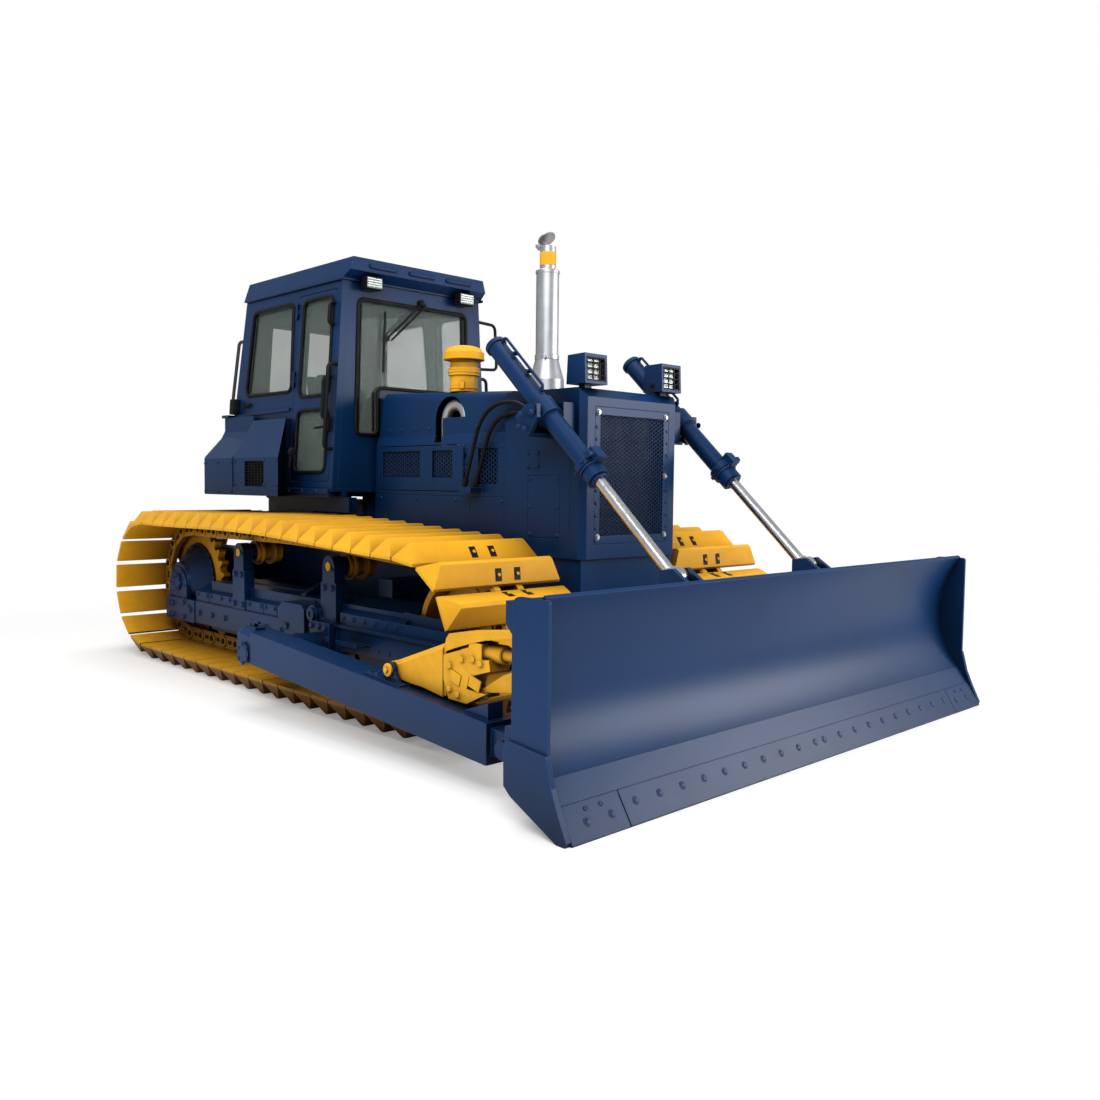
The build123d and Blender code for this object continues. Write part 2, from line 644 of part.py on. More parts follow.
arm_tongue_half, arm_end_radius, ear_radius = 56.0, 44.0, 58.0
brace_y, brace_half = 1640.0, 55.0
brace_pin = (1412.0, 468.0)
brace_pin_radius, brace_eye_radius = 26.0, 45.0
with BuildPart() as arm:
    # box beam, with a chamfered block behind it and a tongue ahead of it
    add(side_cut(arm_y, arm_width, [
        (arm_seam_x, arm_edge(arm_seam_x, -1)), (arm_front_x, arm_edge(arm_front_x, -1)),
        (arm_front_x, arm_edge(arm_front_x, 1)), (arm_seam_x, arm_edge(arm_seam_x, 1))]))
    with BuildPart(mode=Mode.ADD):
        add(side_cut(arm_y, arm_width - 10, [
            (arm_rear_x, 306), (arm_seam_x + 4, 314), (arm_seam_x + 4, 506), (arm_rear_x + 30, 526), (arm_rear_x, 520)]))
        rear_block_edges = faces().sort_by(Axis.Y)[0].edges().sort_by(Axis.Z)[-2:]
        chamfer(rear_block_edges, length=34)
    add(side_cut(arm_y + 30, arm_width - 60, [
        (arm_front_x - 20, arm_pin_z - arm_tongue_half - 12), (arm_pin_x, arm_pin_z - arm_tongue_half),
        (arm_pin_x, arm_pin_z + arm_tongue_half), (arm_front_x - 20, arm_pin_z + arm_tongue_half + 12)]))
    add(cross_bar(arm_pin_x, arm_pin_z, arm_tongue_half, arm_y + 30, arm_y + arm_width - 30))
    add(cross_bar(arm_pin_x, arm_pin_z, arm_end_radius + fit_gap, arm_y, arm_y + arm_width), mode=Mode.SUBTRACT)
    # fin on top, ahead of the brace
    add(side_cut(arm_y + 50, 95, [(arm_front_x - 232, arm_edge(arm_front_x - 232, 1) - 4),
                                  (arm_front_x - 30, arm_edge(arm_front_x - 30, 1) - 4), (arm_front_x - 30, 427)]))
    # pad and clevis ears for the brace
    pad_x0, pad_x1 = brace_pin[0] - 190, brace_pin[0] + 130
    add(side_cut(arm_y + 14, arm_width - 40, [
        (pad_x0, arm_edge(pad_x0, 1) - 5), (pad_x1, arm_edge(pad_x1, 1) - 5),
        (pad_x1, arm_edge(pad_x1, 1) + 10), (pad_x0, arm_edge(pad_x0, 1) + 14)]))
    for y in (brace_y - brace_half - move_gap - 22, brace_y + brace_half + move_gap):
        with BuildSketch(side_plane(y)):
            with BuildLine():
                Polyline((brace_pin[0] - 80, arm_edge(brace_pin[0], 1)), (brace_pin[0] + 80, arm_edge(brace_pin[0], 1)),
                         (brace_pin[0] + 34, brace_pin[1]), (brace_pin[0] - 34, brace_pin[1]), close=True)
            make_face()
            with Locations(brace_pin):
                Circle(38)
                Circle(brace_pin_radius + fit_gap, mode=Mode.SUBTRACT)
        extrude(amount=22)
    # grease lug on the rear block and the pocket of its low pin
    add(block(arm_rear_x + 30, arm_rear_x + 160, arm_y + 60, arm_y + 130, 500, 530))
    add(block(arm_rear_x + 78, arm_rear_x + 108, arm_y + 80, arm_y + 110, 525, 556))
    add(block(arm_rear_x + 40, arm_rear_x + 146, arm_y + 84, arm_y + 106, 550, 566))
    add(cross_bar(arm_pivot_x, arm_pivot_z, arm_pin_radius + 16, arm_y + 10, arm_y + arm_width + 4))
    add(cross_bar(arm_pivot_x, arm_pivot_z, arm_pin_radius + run_gap, arm_y - 5, arm_y + arm_width + 10),
        mode=Mode.SUBTRACT)
save_pair(arm, "push_arm")


# The moldboard is one arc between its top edge and the cutting edge; its centre lies ahead of it.
mold_top = (edge_x - blade_lean, blade_high)
mold_low = (edge_x - edge_high * 0.62, edge_high)
chord = hypot(mold_top[0] - mold_low[0], mold_top[1] - mold_low[1])
chord_reach = (moldboard_radius ** 2 - chord ** 2 / 4) ** 0.5
mold_x = (mold_top[0] + mold_low[0]) / 2 + chord_reach * (mold_top[1] - mold_low[1]) / chord
mold_z = (mold_top[1] + mold_low[1]) / 2 - chord_reach * (mold_top[0] - mold_low[0]) / chord
mold_high_turn = atan2(mold_top[1] - mold_z, mold_top[0] - mold_x) % (2 * pi)
mold_low_turn = atan2(mold_low[1] - mold_z, mold_low[0] - mold_x) % (2 * pi)
mold_rear = moldboard_radius + moldboard_plate + fit_gap


def mold_at(z, radius):
    """Point of an arc about the moldboard's centre at this height."""
    return mold_x - (radius ** 2 - (z - mold_z) ** 2) ** 0.5, z


def mold_turned(turn, radius):
    """Point of an arc about the moldboard's centre at this angle."""
    return mold_x + radius * cos(turn), mold_z + radius * sin(turn)


def behind_moldboard(y, thickness, high, low, *rear):
    """Bar against the back of the moldboard between two heights, closed by its rear corners."""
    with BuildPart() as bar:
        with BuildSketch(side_plane(y)):
            with BuildLine():
                ThreePointArc(mold_at(high, mold_rear), mold_at((high + low) / 2, mold_rear),
                              mold_at(low, mold_rear))
                Polyline(mold_at(low, mold_rear), *rear, mold_at(high, mold_rear))
            make_face()
        extrude(amount=thickness)
    return bar.part


middle_turn = (mold_high_turn + mold_low_turn) / 2
outer_radius = moldboard_radius + moldboard_plate
with BuildPart() as moldboard:
    with BuildSketch(side_plane(-(blade_half - end_plate))):
        with BuildLine():
            ThreePointArc(mold_top, mold_turned(middle_turn, moldboard_radius), mold_low)
            Line(mold_low, mold_turned(mold_low_turn, outer_radius))
            ThreePointArc(mold_turned(mold_low_turn, outer_radius), mold_turned(middle_turn, outer_radius),
                          mold_turned(mold_high_turn, outer_radius))
            Line(mold_turned(mold_high_turn, outer_radius), mold_top)
        make_face()
    extrude(amount=2 * (blade_half - end_plate))
save(moldboard, "blade_moldboard")

# The cutting edge runs straight on from the moldboard to the ground.
edge_slope = atan2(-edge_high, edge_x - mold_low[0])
edge_cos, edge_sin = cos(edge_slope), sin(edge_slope)
edge_foot = edge_plate / -edge_sin
edge_top = (mold_low[0] + 8 * edge_cos, mold_low[1] + 8 * edge_sin)
with BuildPart() as edge:
    add(side_cut(-(blade_half - end_plate), 2 * (blade_half - end_plate), [
        edge_top, (edge_x, 0), (edge_x - edge_foot, 0),
        (edge_top[0] + edge_plate * edge_sin, edge_top[1] - edge_plate * edge_cos)]))
save(edge, "cutting_edge")

spine_x = edge_x - 410.0
rib_places = (0.0, 300.0, lift_y - 78, lift_y + 78, 1120.0, arm_y - 28, arm_y + arm_width + 28)
ear_plate = 40.0
with BuildPart() as back:
    full = blade_half - end_plate
    add(behind_moldboard(-full, 2 * full, blade_high - 30, blade_high - 190,
                         (spine_x + 60, blade_high - 190), (spine_x, blade_high - 130), (spine_x, blade_high - 30)))
    backing = edge_plate + fit_gap
    foot = (edge_x - 60 * edge_cos + backing * edge_sin, -60 * edge_sin - backing * edge_cos)
    knee = (edge_top[0] + backing * edge_sin, edge_top[1] - backing * edge_cos)
    add(behind_moldboard(-full, 2 * full, edge_high + 190, edge_high + 30, knee, foot,
                         (spine_x + 40, 150), (spine_x, 190), (spine_x, edge_high + 190)))
    for y in rib_places:
        for side in ((-1, 1) if y else (1,)):
            add(behind_moldboard(side * y - 14, 28, blade_high - 100, edge_high + 100,
                                 (spine_x + 20, edge_high + 100), (spine_x + 20, blade_high - 100)))
    for side in (-1, 1):
        # ears for the lift rods' eyes
        for y in (lift_y - 76, lift_y + 46):
            add(side_cut(side * y if side > 0 else -y - 30, 30, [
                (spine_x + 5, lift_eye_z - 250), (lift_eye_x - 50, lift_eye_z - 50),
                (lift_eye_x - 50, lift_eye_z + 45), (lift_eye_x + 40, lift_eye_z + 60), (spine_x + 5, blade_high - 35)]))
        # ears and pin that hold the push arm's front end
        for y in (arm_y + 30 - move_gap / 2 - ear_plate, arm_y + arm_width - 30 + move_gap / 2):
            add(side_cut(side * y if side > 0 else -y - ear_plate, ear_plate, [
                (arm_pin_x, arm_pin_z - ear_radius), (spine_x + 60, arm_pin_z - ear_radius - 30),
                (spine_x + 60, arm_pin_z + 130), (arm_pin_x, arm_pin_z + ear_radius)]))
            add(cross_bar(arm_pin_x, arm_pin_z, ear_radius, side * y if side > 0 else -y - ear_plate,
                          side * y + ear_plate if side > 0 else -y))
        y0, y1 = arm_y + 10, arm_y + arm_width + 36
        add(cross_bar(arm_pin_x, arm_pin_z, arm_end_radius, y0 if side > 0 else -y1, y1 if side > 0 else -y0))
        # plate that the brace pushes against
        y0, y1 = arm_y - 30, arm_y + arm_width + 30
        add(block(spine_x + 20, spine_x + 50, y0 if side > 0 else -y1, y1 if side > 0 else -y0, 430, 830))
save(back, "blade_back_frame")

with BuildPart() as end:
    end_front_x, end_rear_x = edge_x - 130, edge_x - 352
    with BuildSketch(side_plane(blade_half - end_plate)):
        with BuildLine():
            Polyline((end_front_x, blade_high - 4), (end_front_x, edge_high), (edge_x - 59, edge_high - 100),
                     (edge_x - 6, 20), (edge_x - 14, 0), (edge_x - 63, 0), (edge_x - 300, 144), (end_rear_x, 180),
                     (end_rear_x, blade_high - 4), close=True)
        make_face()
        corners = vertices().group_by(Axis.Y)[-1].sort_by(Axis.X)
        fillet(corners[0], radius=46)
        fillet(vertices().group_by(Axis.Y)[-1].sort_by(Axis.X)[-1], radius=16)
    extrude(amount=end_plate - 12)
    # thicker lower gusset
    with BuildSketch(side_plane(blade_half - end_plate)):
        with BuildLine():
            Polyline((end_rear_x - 6, 372), (end_front_x, 349), (edge_x - 126, 336), (edge_x - 97, 222), (edge_x - 59, 132),
                     (edge_x - 6, 20), (edge_x - 14, 0), (edge_x - 63, 0), (edge_x - 345, 136), (edge_x - 386, 172),
                     (edge_x - 388, 332), (end_rear_x - 20, 368), close=True)
        make_face()
    extrude(amount=end_plate)
save_both(end, "blade_end_plates")

# ================================================================ braces
brace_front_x = spine_x + 20 - fit_gap
brace_screw_z = 645.0
with BuildPart() as brace:
    inner, outer = brace_y - brace_half, brace_y + brace_half
    # tapered rear beam with its eye, bevelled along the top
    with BuildPart(mode=Mode.ADD):
        add(side_cut(inner, 2 * brace_half, [
            (brace_pin[0], brace_pin[1] + brace_eye_radius), (1826, 657), (1826, 386), (1660, 410),
            (1560, 414), (brace_pin[0], 428)]))
        bevel = faces().sort_by(Axis.Y)[0].edges().filter_by(lambda edge: edge.center().Z > 560)
        chamfer(bevel.filter_by(lambda edge: edge.length > 300), length=26)
    add(cross_bar(brace_pin[0], brace_pin[1], brace_eye_radius, inner, outer))
    add(cross_bar(brace_pin[0], brace_pin[1], brace_pin_radius, inner - 30, outer + 34))
    add(block(1820, 1846, inner + 8, outer - 8, 392, 640))
    # bracket plate
    add(side_cut(inner - 6, 2 * brace_half + 12, [
        (1840, 602), (2049, 665), (2066, 600), (2185, 620), (2195, 566), (2040, 520), (2022, 456), (2166, 452),
        (2022, 384), (1882, 387), (1840, 480)]))
    # upper bar with a rounded end
    add(side_cut(inner + 2, 2 * brace_half + 8, [
        (1862, 622), (1950, 652), (2062, 686), (2165, 711), (2330, 738), (brace_front_x, 775), (brace_front_x, 815),
        (2330, 772), (1969, 729), (1890, 714), (1868, 690), (1858, 660)]))
    # socket and adjusting screw
    add(block(2040, 2134, brace_y - 46, outer + 8, 592, 690))
    add(spun((2050, -brace_y, brace_screw_z), (1, 0, 0), [
        (0, 0), (0, 46), (190, 46), (196, 40), (196, 30), (brace_front_x - 2050 - 60, 30),
        (brace_front_x - 2050 - 60, 52), (brace_front_x - 2050, 52), (brace_front_x - 2050, 0)]))
    # lower bar
    add(side_cut(brace_y - 40, 80, [
        (2110, 440), (2142, 455), (2330, 484), (brace_front_x, 512), (brace_front_x, 610), (2326, 578), (2266, 556),
        (2120, 470)]))
    add(block(2096, 2150, brace_y - 40, brace_y + 40, 430, 470))
save_both(brace, "braces")

# ================================================================ lift cylinders
lift_point = (yoke_x, -lift_y, yoke_z)
lift_direction = (cos(lift_slope), 0, sin(lift_slope))
lift_across = (-sin(lift_slope), 0, cos(lift_slope))


def on_barrel(along, above):
    """Point beside the right cylinder's axis: along it from the yoke, and square to it."""
    return tuple(p + along * d + above * a for p, d, a in zip(lift_point, lift_direction, lift_across))


with BuildPart() as barrel:
    add(spun(lift_point, lift_direction, [
        (-barrel_back, 0), (-barrel_back, barrel_radius - 12), (-barrel_back + 12, barrel_radius),
        (-collar_length / 2, barrel_radius), (-collar_length / 2, collar_radius), (collar_length / 2, collar_radius),
        (collar_length / 2, barrel_radius), (barrel_front - 70, barrel_radius),
        (barrel_front - 70, barrel_radius + 9), (barrel_front, barrel_radius + 9),
        (barrel_front, rod_radius + run_gap), (barrel_front - 50, rod_radius + run_gap),
        (barrel_front - 50, barrel_bore), (-barrel_back + 30, barrel_bore), (-barrel_back + 30, 0)]))
    for side in (-1, 1):
        with Locations(Plane(origin=(yoke_x, -lift_y - side * (collar_radius + 18), yoke_z), z_dir=(0, -1, 0))):
            Cylinder(trunnion_radius, 56)
    # steel pipe from the head end to a block beside the collar
    add(pipe(9, [on_barrel(40 - barrel_back, barrel_radius - 14), on_barrel(40 - barrel_back, barrel_radius + 34),
                 on_barrel(-120, barrel_radius + 34), on_barrel(-120, barrel_radius - 14)], 22))
    for along in (40 - barrel_back, -120):
        add(spun(on_barrel(along, barrel_radius - 6), lift_across, [(0, 0), (0, 16), (22, 16), (22, 0)]))
save_pair(barrel, "lift_barrel")

with BuildPart() as rod:
    add(spun(lift_point, lift_direction, [
        (rod_inner_end, 0), (rod_inner_end, rod_radius), (lift_reach - 62, rod_radius),
        (lift_reach - 54, rod_radius + 10), (lift_reach, rod_radius + 10), (lift_reach, 0)]))
    with Locations(Plane(origin=(lift_eye_x, -lift_y, lift_eye_z), z_dir=(0, -1, 0))):
        Cylinder(lift_eye_radius, 80)
save_pair(rod, "lift_rod")

lug_y = collar_radius + 8
with BuildPart() as yoke:
    # two lugs that hold the barrel's trunnions, joined by a bridge behind the barrel
    heel = [(yoke_x - 150, yoke_z - 30), (yoke_x - 30, yoke_z - 150), (yoke_x + 45, yoke_z - 40),
            (yoke_x + 40, yoke_z + 40), (yoke_x - 45, yoke_z + 40)]
    for y in (lift_y - lug_y - lug_plate, lift_y + lug_y):
        add(side_cut(y, lug_plate, heel))
    add(side_cut(lift_y - lug_y, 2 * lug_y, [(yoke_x - 150, yoke_z - 60), (yoke_x - 60, yoke_z - 150),
                                             (yoke_x - 40, yoke_z - 130), (yoke_x - 130, yoke_z - 40)]))
    add(side_cut(guard_half, lift_y - lug_y - guard_half, [
        (yoke_x - 150, yoke_z - 150), (yoke_x + 60, yoke_z - 150), (yoke_x + 60, yoke_z + 60),
        (yoke_x - 150, yoke_z + 60)]))
    with Locations(Plane(origin=(yoke_x, -lift_y, yoke_z), z_dir=(0, -1, 0))):
        Cylinder(trunnion_radius + run_gap, 2 * (lug_y + lug_plate) + 30, mode=Mode.SUBTRACT)
save_both(yoke, "cylinder_yokes")

# Two hoses feed each cylinder: from a fitting on the hood's side, over in one arch, to the yoke.
hose_radius = 13.0
fitting_low, fitting_high = 1394.0, 1430.0
with BuildPart() as hoses:
    for y, foot_x, low_x, high_x, crest_z, end_z, bend in (
            (520.0, 552.0, 745.0, 1085.0, 1972.0, 1812.0, 288.0), (478.0, 612.0, 800.0, 1072.0, 1905.0, 1765.0, 258.0)):
        start, end = (foot_x, -y, fitting_high - 6), (yoke_x - 142, -y, end_z - 5)
        add(pipe(hose_radius, [start, (low_x, -y, crest_z), (high_x, -y, crest_z), end], bend))
        for point, corner in ((start, (low_x, -y, crest_z)), (end, (high_x, -y, crest_z))):
            run = (corner[0] - point[0], 0, corner[2] - point[2])
            add(spun(point, run, [(18, 0), (18, hose_radius + 5), (64, hose_radius + 5), (64, 0)]))
    # flat ends, square on the fitting block and on the yoke
    add(block(500, 700, 400, 600, fitting_low, fitting_high + fit_gap), mode=Mode.SUBTRACT)
    add(block(yoke_x - 150 - fit_gap, yoke_x, 400, 600, 1700, 1900), mode=Mode.SUBTRACT)
save_both(hoses, "lift_hoses")

# ================================================================ hood
def hood_top(x):
    """Height of the hood's sloping top."""
    return hood_high_front + (hood_front_x - x) / (hood_front_x - hood_rear_x - 60) * (hood_high_rear - hood_high_front)


arch_x, arch_z, arch_radius = 273.0, 1890.0, 165.0
arch_sill, arch_leg_x, arch_foot = 1908.0, 192.0, 1738.0
# arched opening over the intake's tube; a flat panel covers its lower front part
with BuildSketch(side_plane(hood_half - 60)) as intake_arch:
    with Locations((arch_x, arch_z)):
        Circle(arch_radius)
    with Locations((arch_x, arch_sill - arch_radius)):
        Rectangle(2 * arch_radius + 10, 2 * arch_radius, mode=Mode.SUBTRACT)
    with Locations(((arch_x - arch_radius + arch_leg_x) / 2, (arch_foot + arch_sill) / 2)):
        Rectangle(arch_leg_x - arch_x + arch_radius, arch_sill - arch_foot + 1)

with BuildPart() as hood_cover:
    with BuildSketch(side_plane(-hood_top_half)):
        with BuildLine():
            Polyline((hood_rear_x + 60, hood_high_rear), (hood_front_x, hood_high_front), (hood_front_x, shoulder_z),
                     (hood_rear_x, shoulder_z), close=True)
        make_face()
    extrude(amount=2 * hood_top_half)
    top_edges = hood_cover.edges().filter_by(lambda edge: edge.center().Z > hood_high_front)
    fillet(top_edges.filter_by(lambda edge: abs(edge.tangent_at(0).Y) < 0.1), radius=50)
    offset(amount=-hood_sheet, openings=[hood_cover.faces().sort_by(Axis.Z)[0], hood_cover.faces().sort_by(Axis.X)[-1]])
    # right side only
    extrude(intake_arch.sketch, amount=80, mode=Mode.SUBTRACT)
save(hood_cover, "hood_top")

engine_hinges = [hinge(Plane(origin=(engine_door_front_x - door_gap / 2, -hood_half, z), x_dir=(-1, 0, 0),
                             z_dir=(0, -1, 0))) for z in (1500, 1640)]
door_top_z = door_high_z + door_gap
vent_panel = (600.0, 800.0, 1450.0, 1690.0)
side_seam_z, side_seam_x, groove = 1370.0, 512.0, 5.0
with BuildPart() as hood_side:
    # fixed side panel with the openings for the engine door and for the front vent
    with BuildSketch(side_plane(hood_half - 20)):
        with BuildLine():
            Polyline((hood_rear_x - 40, sill_low_z), (hood_front_x - fit_gap, sill_low_z),
                     (hood_front_x - fit_gap, shoulder_low_z), (hood_rear_x - 14, shoulder_low_z), close=True)
        make_face()
        with BuildLine():
            Polyline((engine_door_rear_x, door_low_z), (engine_door_front_x, door_low_z),
                     (engine_door_front_x, door_top_z), (engine_door_rear_x, door_top_z), close=True)
        make_face(mode=Mode.SUBTRACT)
        with Locations(((vent_panel[0] + vent_panel[1]) / 2, (vent_panel[2] + vent_panel[3]) / 2)):
            Rectangle(vent_panel[1] - vent_panel[0], vent_panel[3] - vent_panel[2], mode=Mode.SUBTRACT)
    extrude(amount=20)
    # sloping shoulder up to the hood's top
    with BuildSketch(Plane.YZ.offset(hood_rear_x - 14)):
        with BuildLine():
            Polyline((20 - hood_half, shoulder_low_z), (-hood_half, shoulder_low_z), (-hood_top_half, shoulder_z
                     - fit_gap), (20 - hood_top_half, shoulder_z - fit_gap), close=True)
        make_face()
    extrude(amount=hood_front_x - fit_gap - hood_rear_x + 14)
    # shallow seams between the sheets
    add(block(hood_rear_x - 50, hood_front_x + 10, hood_half - groove, hood_half + 5, side_seam_z - groove,
              side_seam_z), mode=Mode.SUBTRACT)
    add(block(side_seam_x, side_seam_x + groove, hood_half - groove, hood_half + 5, sill_low_z - 10,
              side_seam_z - 10), mode=Mode.SUBTRACT)
    for fixed, _ in engine_hinges:
        add(fixed)

with BuildPart() as hood_panels:
    add(hood_side.part)
    mirror(hood_side.part, about=Plane.XZ)
    extrude(intake_arch.sketch, amount=80, mode=Mode.SUBTRACT)
    # fitting block that the lift hoses leave from
    for y0 in (hood_half - 2, -hood_half - 100):
        add(block(528, 640, y0, y0 + 102, fitting_low, fitting_high))
    # cowl between the hood and the cab
    add(side_cut(-330, 660, [(cab_front_x, platform_low), (hood_rear_x - 60, platform_low), (hood_rear_x - 4, shoulder_z),
                             (hood_rear_x + 40, hood_high_rear - 60), (cab_front_x, hood_high_rear - 20)]))
save(hood_panels, "hood_panels")

door_vents = ((-505.0, -42.0), (97.0, 323.0))
vent_low, vent_high = 1492.0, 1682.0
with BuildPart() as engine_door:
    add(block(engine_door_rear_x + door_gap, engine_door_front_x - door_gap, hood_half - side_door_sheet, hood_half,
              door_low_z + door_gap, door_high_z))
    for x0, x1 in door_vents:
        add(block(x0, x1, hood_half - side_door_sheet - 5, hood_half + 5, vent_low, vent_high), mode=Mode.SUBTRACT)
    for _, moving in engine_hinges:
        add(moving)
save_pair(engine_door, "engine_door")

guard_panel = (1100.0, 1392.0, 1116.0, 1512.0)
guard_seam_x = 1474.0
with BuildPart() as guard:
    add(side_cut(-guard_half, 2 * guard_half, [
        (hood_front_x, guard_low), (guard_front_x, guard_low), (guard_front_x, guard_high - 55),
        (guard_front_x - 50, guard_high), (hood_front_x, guard_high)]))
    chamfer(guard.edges().filter_by(Axis.Z).group_by(Axis.X)[-1], length=guard_corner)
    add(block(hood_front_x - 5, guard_front_x - guard_wall, -guard_half + guard_wall, guard_half - guard_wall,
              guard_low - 5, guard_high - 60), mode=Mode.SUBTRACT)
    add(block(guard_front_x - guard_wall - 5, guard_front_x + 5, -grille_half, grille_half,
              grille_low, grille_high), mode=Mode.SUBTRACT)
    # the side walls show a bolted panel's outline and a seam; each carries a blank plate
    x0, x1, z0, z1 = guard_panel
    for y0 in (guard_half - groove, -guard_half - groove):
        y1 = y0 + 2 * groove
        for a, b in ((x0, x0 + groove), (x1 - groove, x1), (guard_seam_x, guard_seam_x + groove)):
            add(block(a, b, y0, y1, z0 if b < guard_seam_x else guard_low + 60, z1 if b < guard_seam_x
                      else guard_high - 120), mode=Mode.SUBTRACT)
        for a, b in ((z0, z0 + groove), (z1 - groove, z1)):
            add(block(x0, x1, y0, y1, a, b), mode=Mode.SUBTRACT)
    for y0 in (guard_half - 1, -guard_half - 4):
        add(block(1096, 1200, y0, y0 + 5, 1556, 1660))
save(guard, "radiator_guard")

with BuildPart() as grille:
    add(block(guard_front_x - grille_plate, guard_front_x, -grille_half + fit_gap, grille_half - fit_gap,
              grille_low + fit_gap, grille_high - fit_gap))
save(grille, "radiator_grille")

with BuildPart() as radiator:
    add(block(guard_front_x - 170, guard_front_x - 70, -guard_half + guard_wall, guard_half - guard_wall,
              guard_low + 40, guard_high - 80))
save(radiator, "radiator_core")


# ================================================================ on top of the hood
exhaust_x, exhaust_y = 1030.0, 225.0
exhaust_top = 3010.0
cap_pin_x, cap_pin_z = exhaust_x - 66.0, exhaust_top - 14.0
with BuildPart() as exhaust:
    base = guard_high + fit_gap
    add(spun((exhaust_x, -exhaust_y, 0), (0, 0, 1), [
        (base, 0), (base, 120), (base + 16, 120), (base + 16, 114), (base + 90, 112), (base + 230, 74),
        (exhaust_top - 200, 74), (exhaust_top - 170, 52), (exhaust_top - 25, 52), (exhaust_top - 25, 45),
        (base + 60, 45), (base + 60, 0)]))
    # ears for the rain cap's pin
    for y in (exhaust_y - 40, exhaust_y + 32):
        add(side_cut(y, 8, [(exhaust_x - 46, exhaust_top - 50), (cap_pin_x - 10, cap_pin_z - 10),
                            (cap_pin_x - 10, cap_pin_z + 8), (cap_pin_x + 8, cap_pin_z + 8),
                            (exhaust_x - 40, exhaust_top - 26)]))
    add(cross_bar(cap_pin_x, cap_pin_z, 4 + run_gap, exhaust_y - 42, exhaust_y + 42), mode=Mode.SUBTRACT)
save(exhaust, "exhaust_stack")

with BuildPart() as rain_cap:
    cap_tilt = radians(35)
    add(spun((cap_pin_x + 66 * cos(cap_tilt), -exhaust_y, cap_pin_z + 66 * sin(cap_tilt)),
             (-sin(cap_tilt), 0, cos(cap_tilt)), [(0, 0), (0, 60), (6, 60), (6, 0)]))
    add(cross_bar(cap_pin_x, cap_pin_z, 7, exhaust_y - 31, exhaust_y + 31))
    add(cross_bar(cap_pin_x, cap_pin_z, 4, exhaust_y - 44, exhaust_y + 44))
save(rain_cap, "rain_cap")

cleaner_x, cleaner_y = 275.0, 300.0
with BuildPart() as cleaner:
    base = hood_top(cleaner_x - 96) + fit_gap
    add(spun((cleaner_x, -cleaner_y, 0), (0, 0, 1), [
        (base, 0), (base, 96), (base + 110, 96), (base + 112, 109), (base + 165, 109), (base + 168, 96),
        (base + 215, 90), (base + 220, 141), (base + 270, 141), (base + 300, 120), (base + 315, 80), (base + 320, 0)]))
save(cleaner, "air_precleaner")

with BuildPart() as elbow:
    tube, tube_y, tube_bend = 39.0, 360.0, 109.0
    rear_leg_x, front_leg_x = arch_x - tube_bend, arch_x + tube_bend
    add(pipe(tube, [(rear_leg_x, -tube_y, engine_high), (rear_leg_x, -tube_y, 2000), (front_leg_x, -tube_y, 2000),
                    (front_leg_x, -tube_y, engine_high - 110)], tube_bend - fit_gap))
    add(cross_bar(front_leg_x, engine_high - 60, tube + 6, engine_half + fit_gap, tube_y))
save(elbow, "intake_elbow")

# ================================================================ cab
lean = radians(cab_lean)
wall_plane = Plane(origin=(0, -cab_half_low, cab_floor_z), x_dir=(1, 0, 0), z_dir=(0, -cos(lean), sin(lean)))


def up_wall(z):
    """Distance up the leaning side wall to this height."""
    return (z - cab_floor_z) / cos(lean)


def cab_half(z):
    """Half width over the cab's side walls at this height."""
    return cab_half_low - (z - cab_floor_z) * tan(lean)


def cab_section(inset):
    """Cross-section of the cab, inset from its outer faces."""
    return [(-cab_half(cab_floor_z) + inset, cab_floor_z), (cab_half(cab_floor_z) - inset, cab_floor_z),
            (cab_half(cab_top_z) - inset, cab_top_z), (-cab_half(cab_top_z) + inset, cab_top_z)]


def rounded(points, radius):
    """Face of an outline with rounded corners."""
    with BuildSketch() as outline:
        with BuildLine():
            Polyline(*points, close=True)
        make_face()
        fillet(outline.vertices(), radius=radius)
    return outline.sketch


side_window = [(-2032, up_wall(2850)), (-1398, up_wall(2850)), (-1370, up_wall(2165)), (-2107, up_wall(2165))]
door_windows = (
    [(-1231, up_wall(2845)), (-822, up_wall(2845)), (-822, up_wall(2113)), (-1250, up_wall(2113))],
    [(-1255, up_wall(2000)), (-822, up_wall(2000)), (-822, up_wall(1530)), (-1260, up_wall(1530))])
window_corner = 55.0
doorway = [(door_rear_x, up_wall(door_low)), (door_front_x, up_wall(door_low)), (door_front_x, up_wall(door_high)),
           (door_rear_x, up_wall(door_high))]
door_hinges = [hinge(Plane(origin=wall_plane.from_local_coords((door_rear_x + door_gap / 2, up_wall(z), 0)),
                           x_dir=(1, 0, 0), z_dir=wall_plane.z_dir)) for z in (1660, 2250, 2780)]
with BuildPart() as cab_side:
    with BuildSketch(wall_plane):
        with BuildLine():
            Polyline((cab_front_x, 0), (cab_front_x, up_wall(cab_top_z)), (cab_rear_high_x, up_wall(cab_top_z)),
                     (cab_rear_low_x, up_wall(cab_rear_knee_z)), (cab_rear_low_x, 0), close=True)
        make_face()
        add(rounded(doorway, 30), mode=Mode.SUBTRACT)
        add(rounded(side_window, window_corner), mode=Mode.SUBTRACT)
    extrude(amount=-cab_wall)
    # drip ledge over the side box
    with BuildSketch(wall_plane):
        with BuildLine():
            Polyline((cab_rear_low_x + 4, up_wall(2010)), (door_rear_x - 40, up_wall(2034)),
                     (door_rear_x - 40, up_wall(2010)), (cab_rear_low_x + 4, up_wall(tank_top_z)), close=True)
        make_face()
    extrude(amount=16)
    for fixed, _ in door_hinges:
        add(fixed)
save_pair(cab_side, "cab_side")

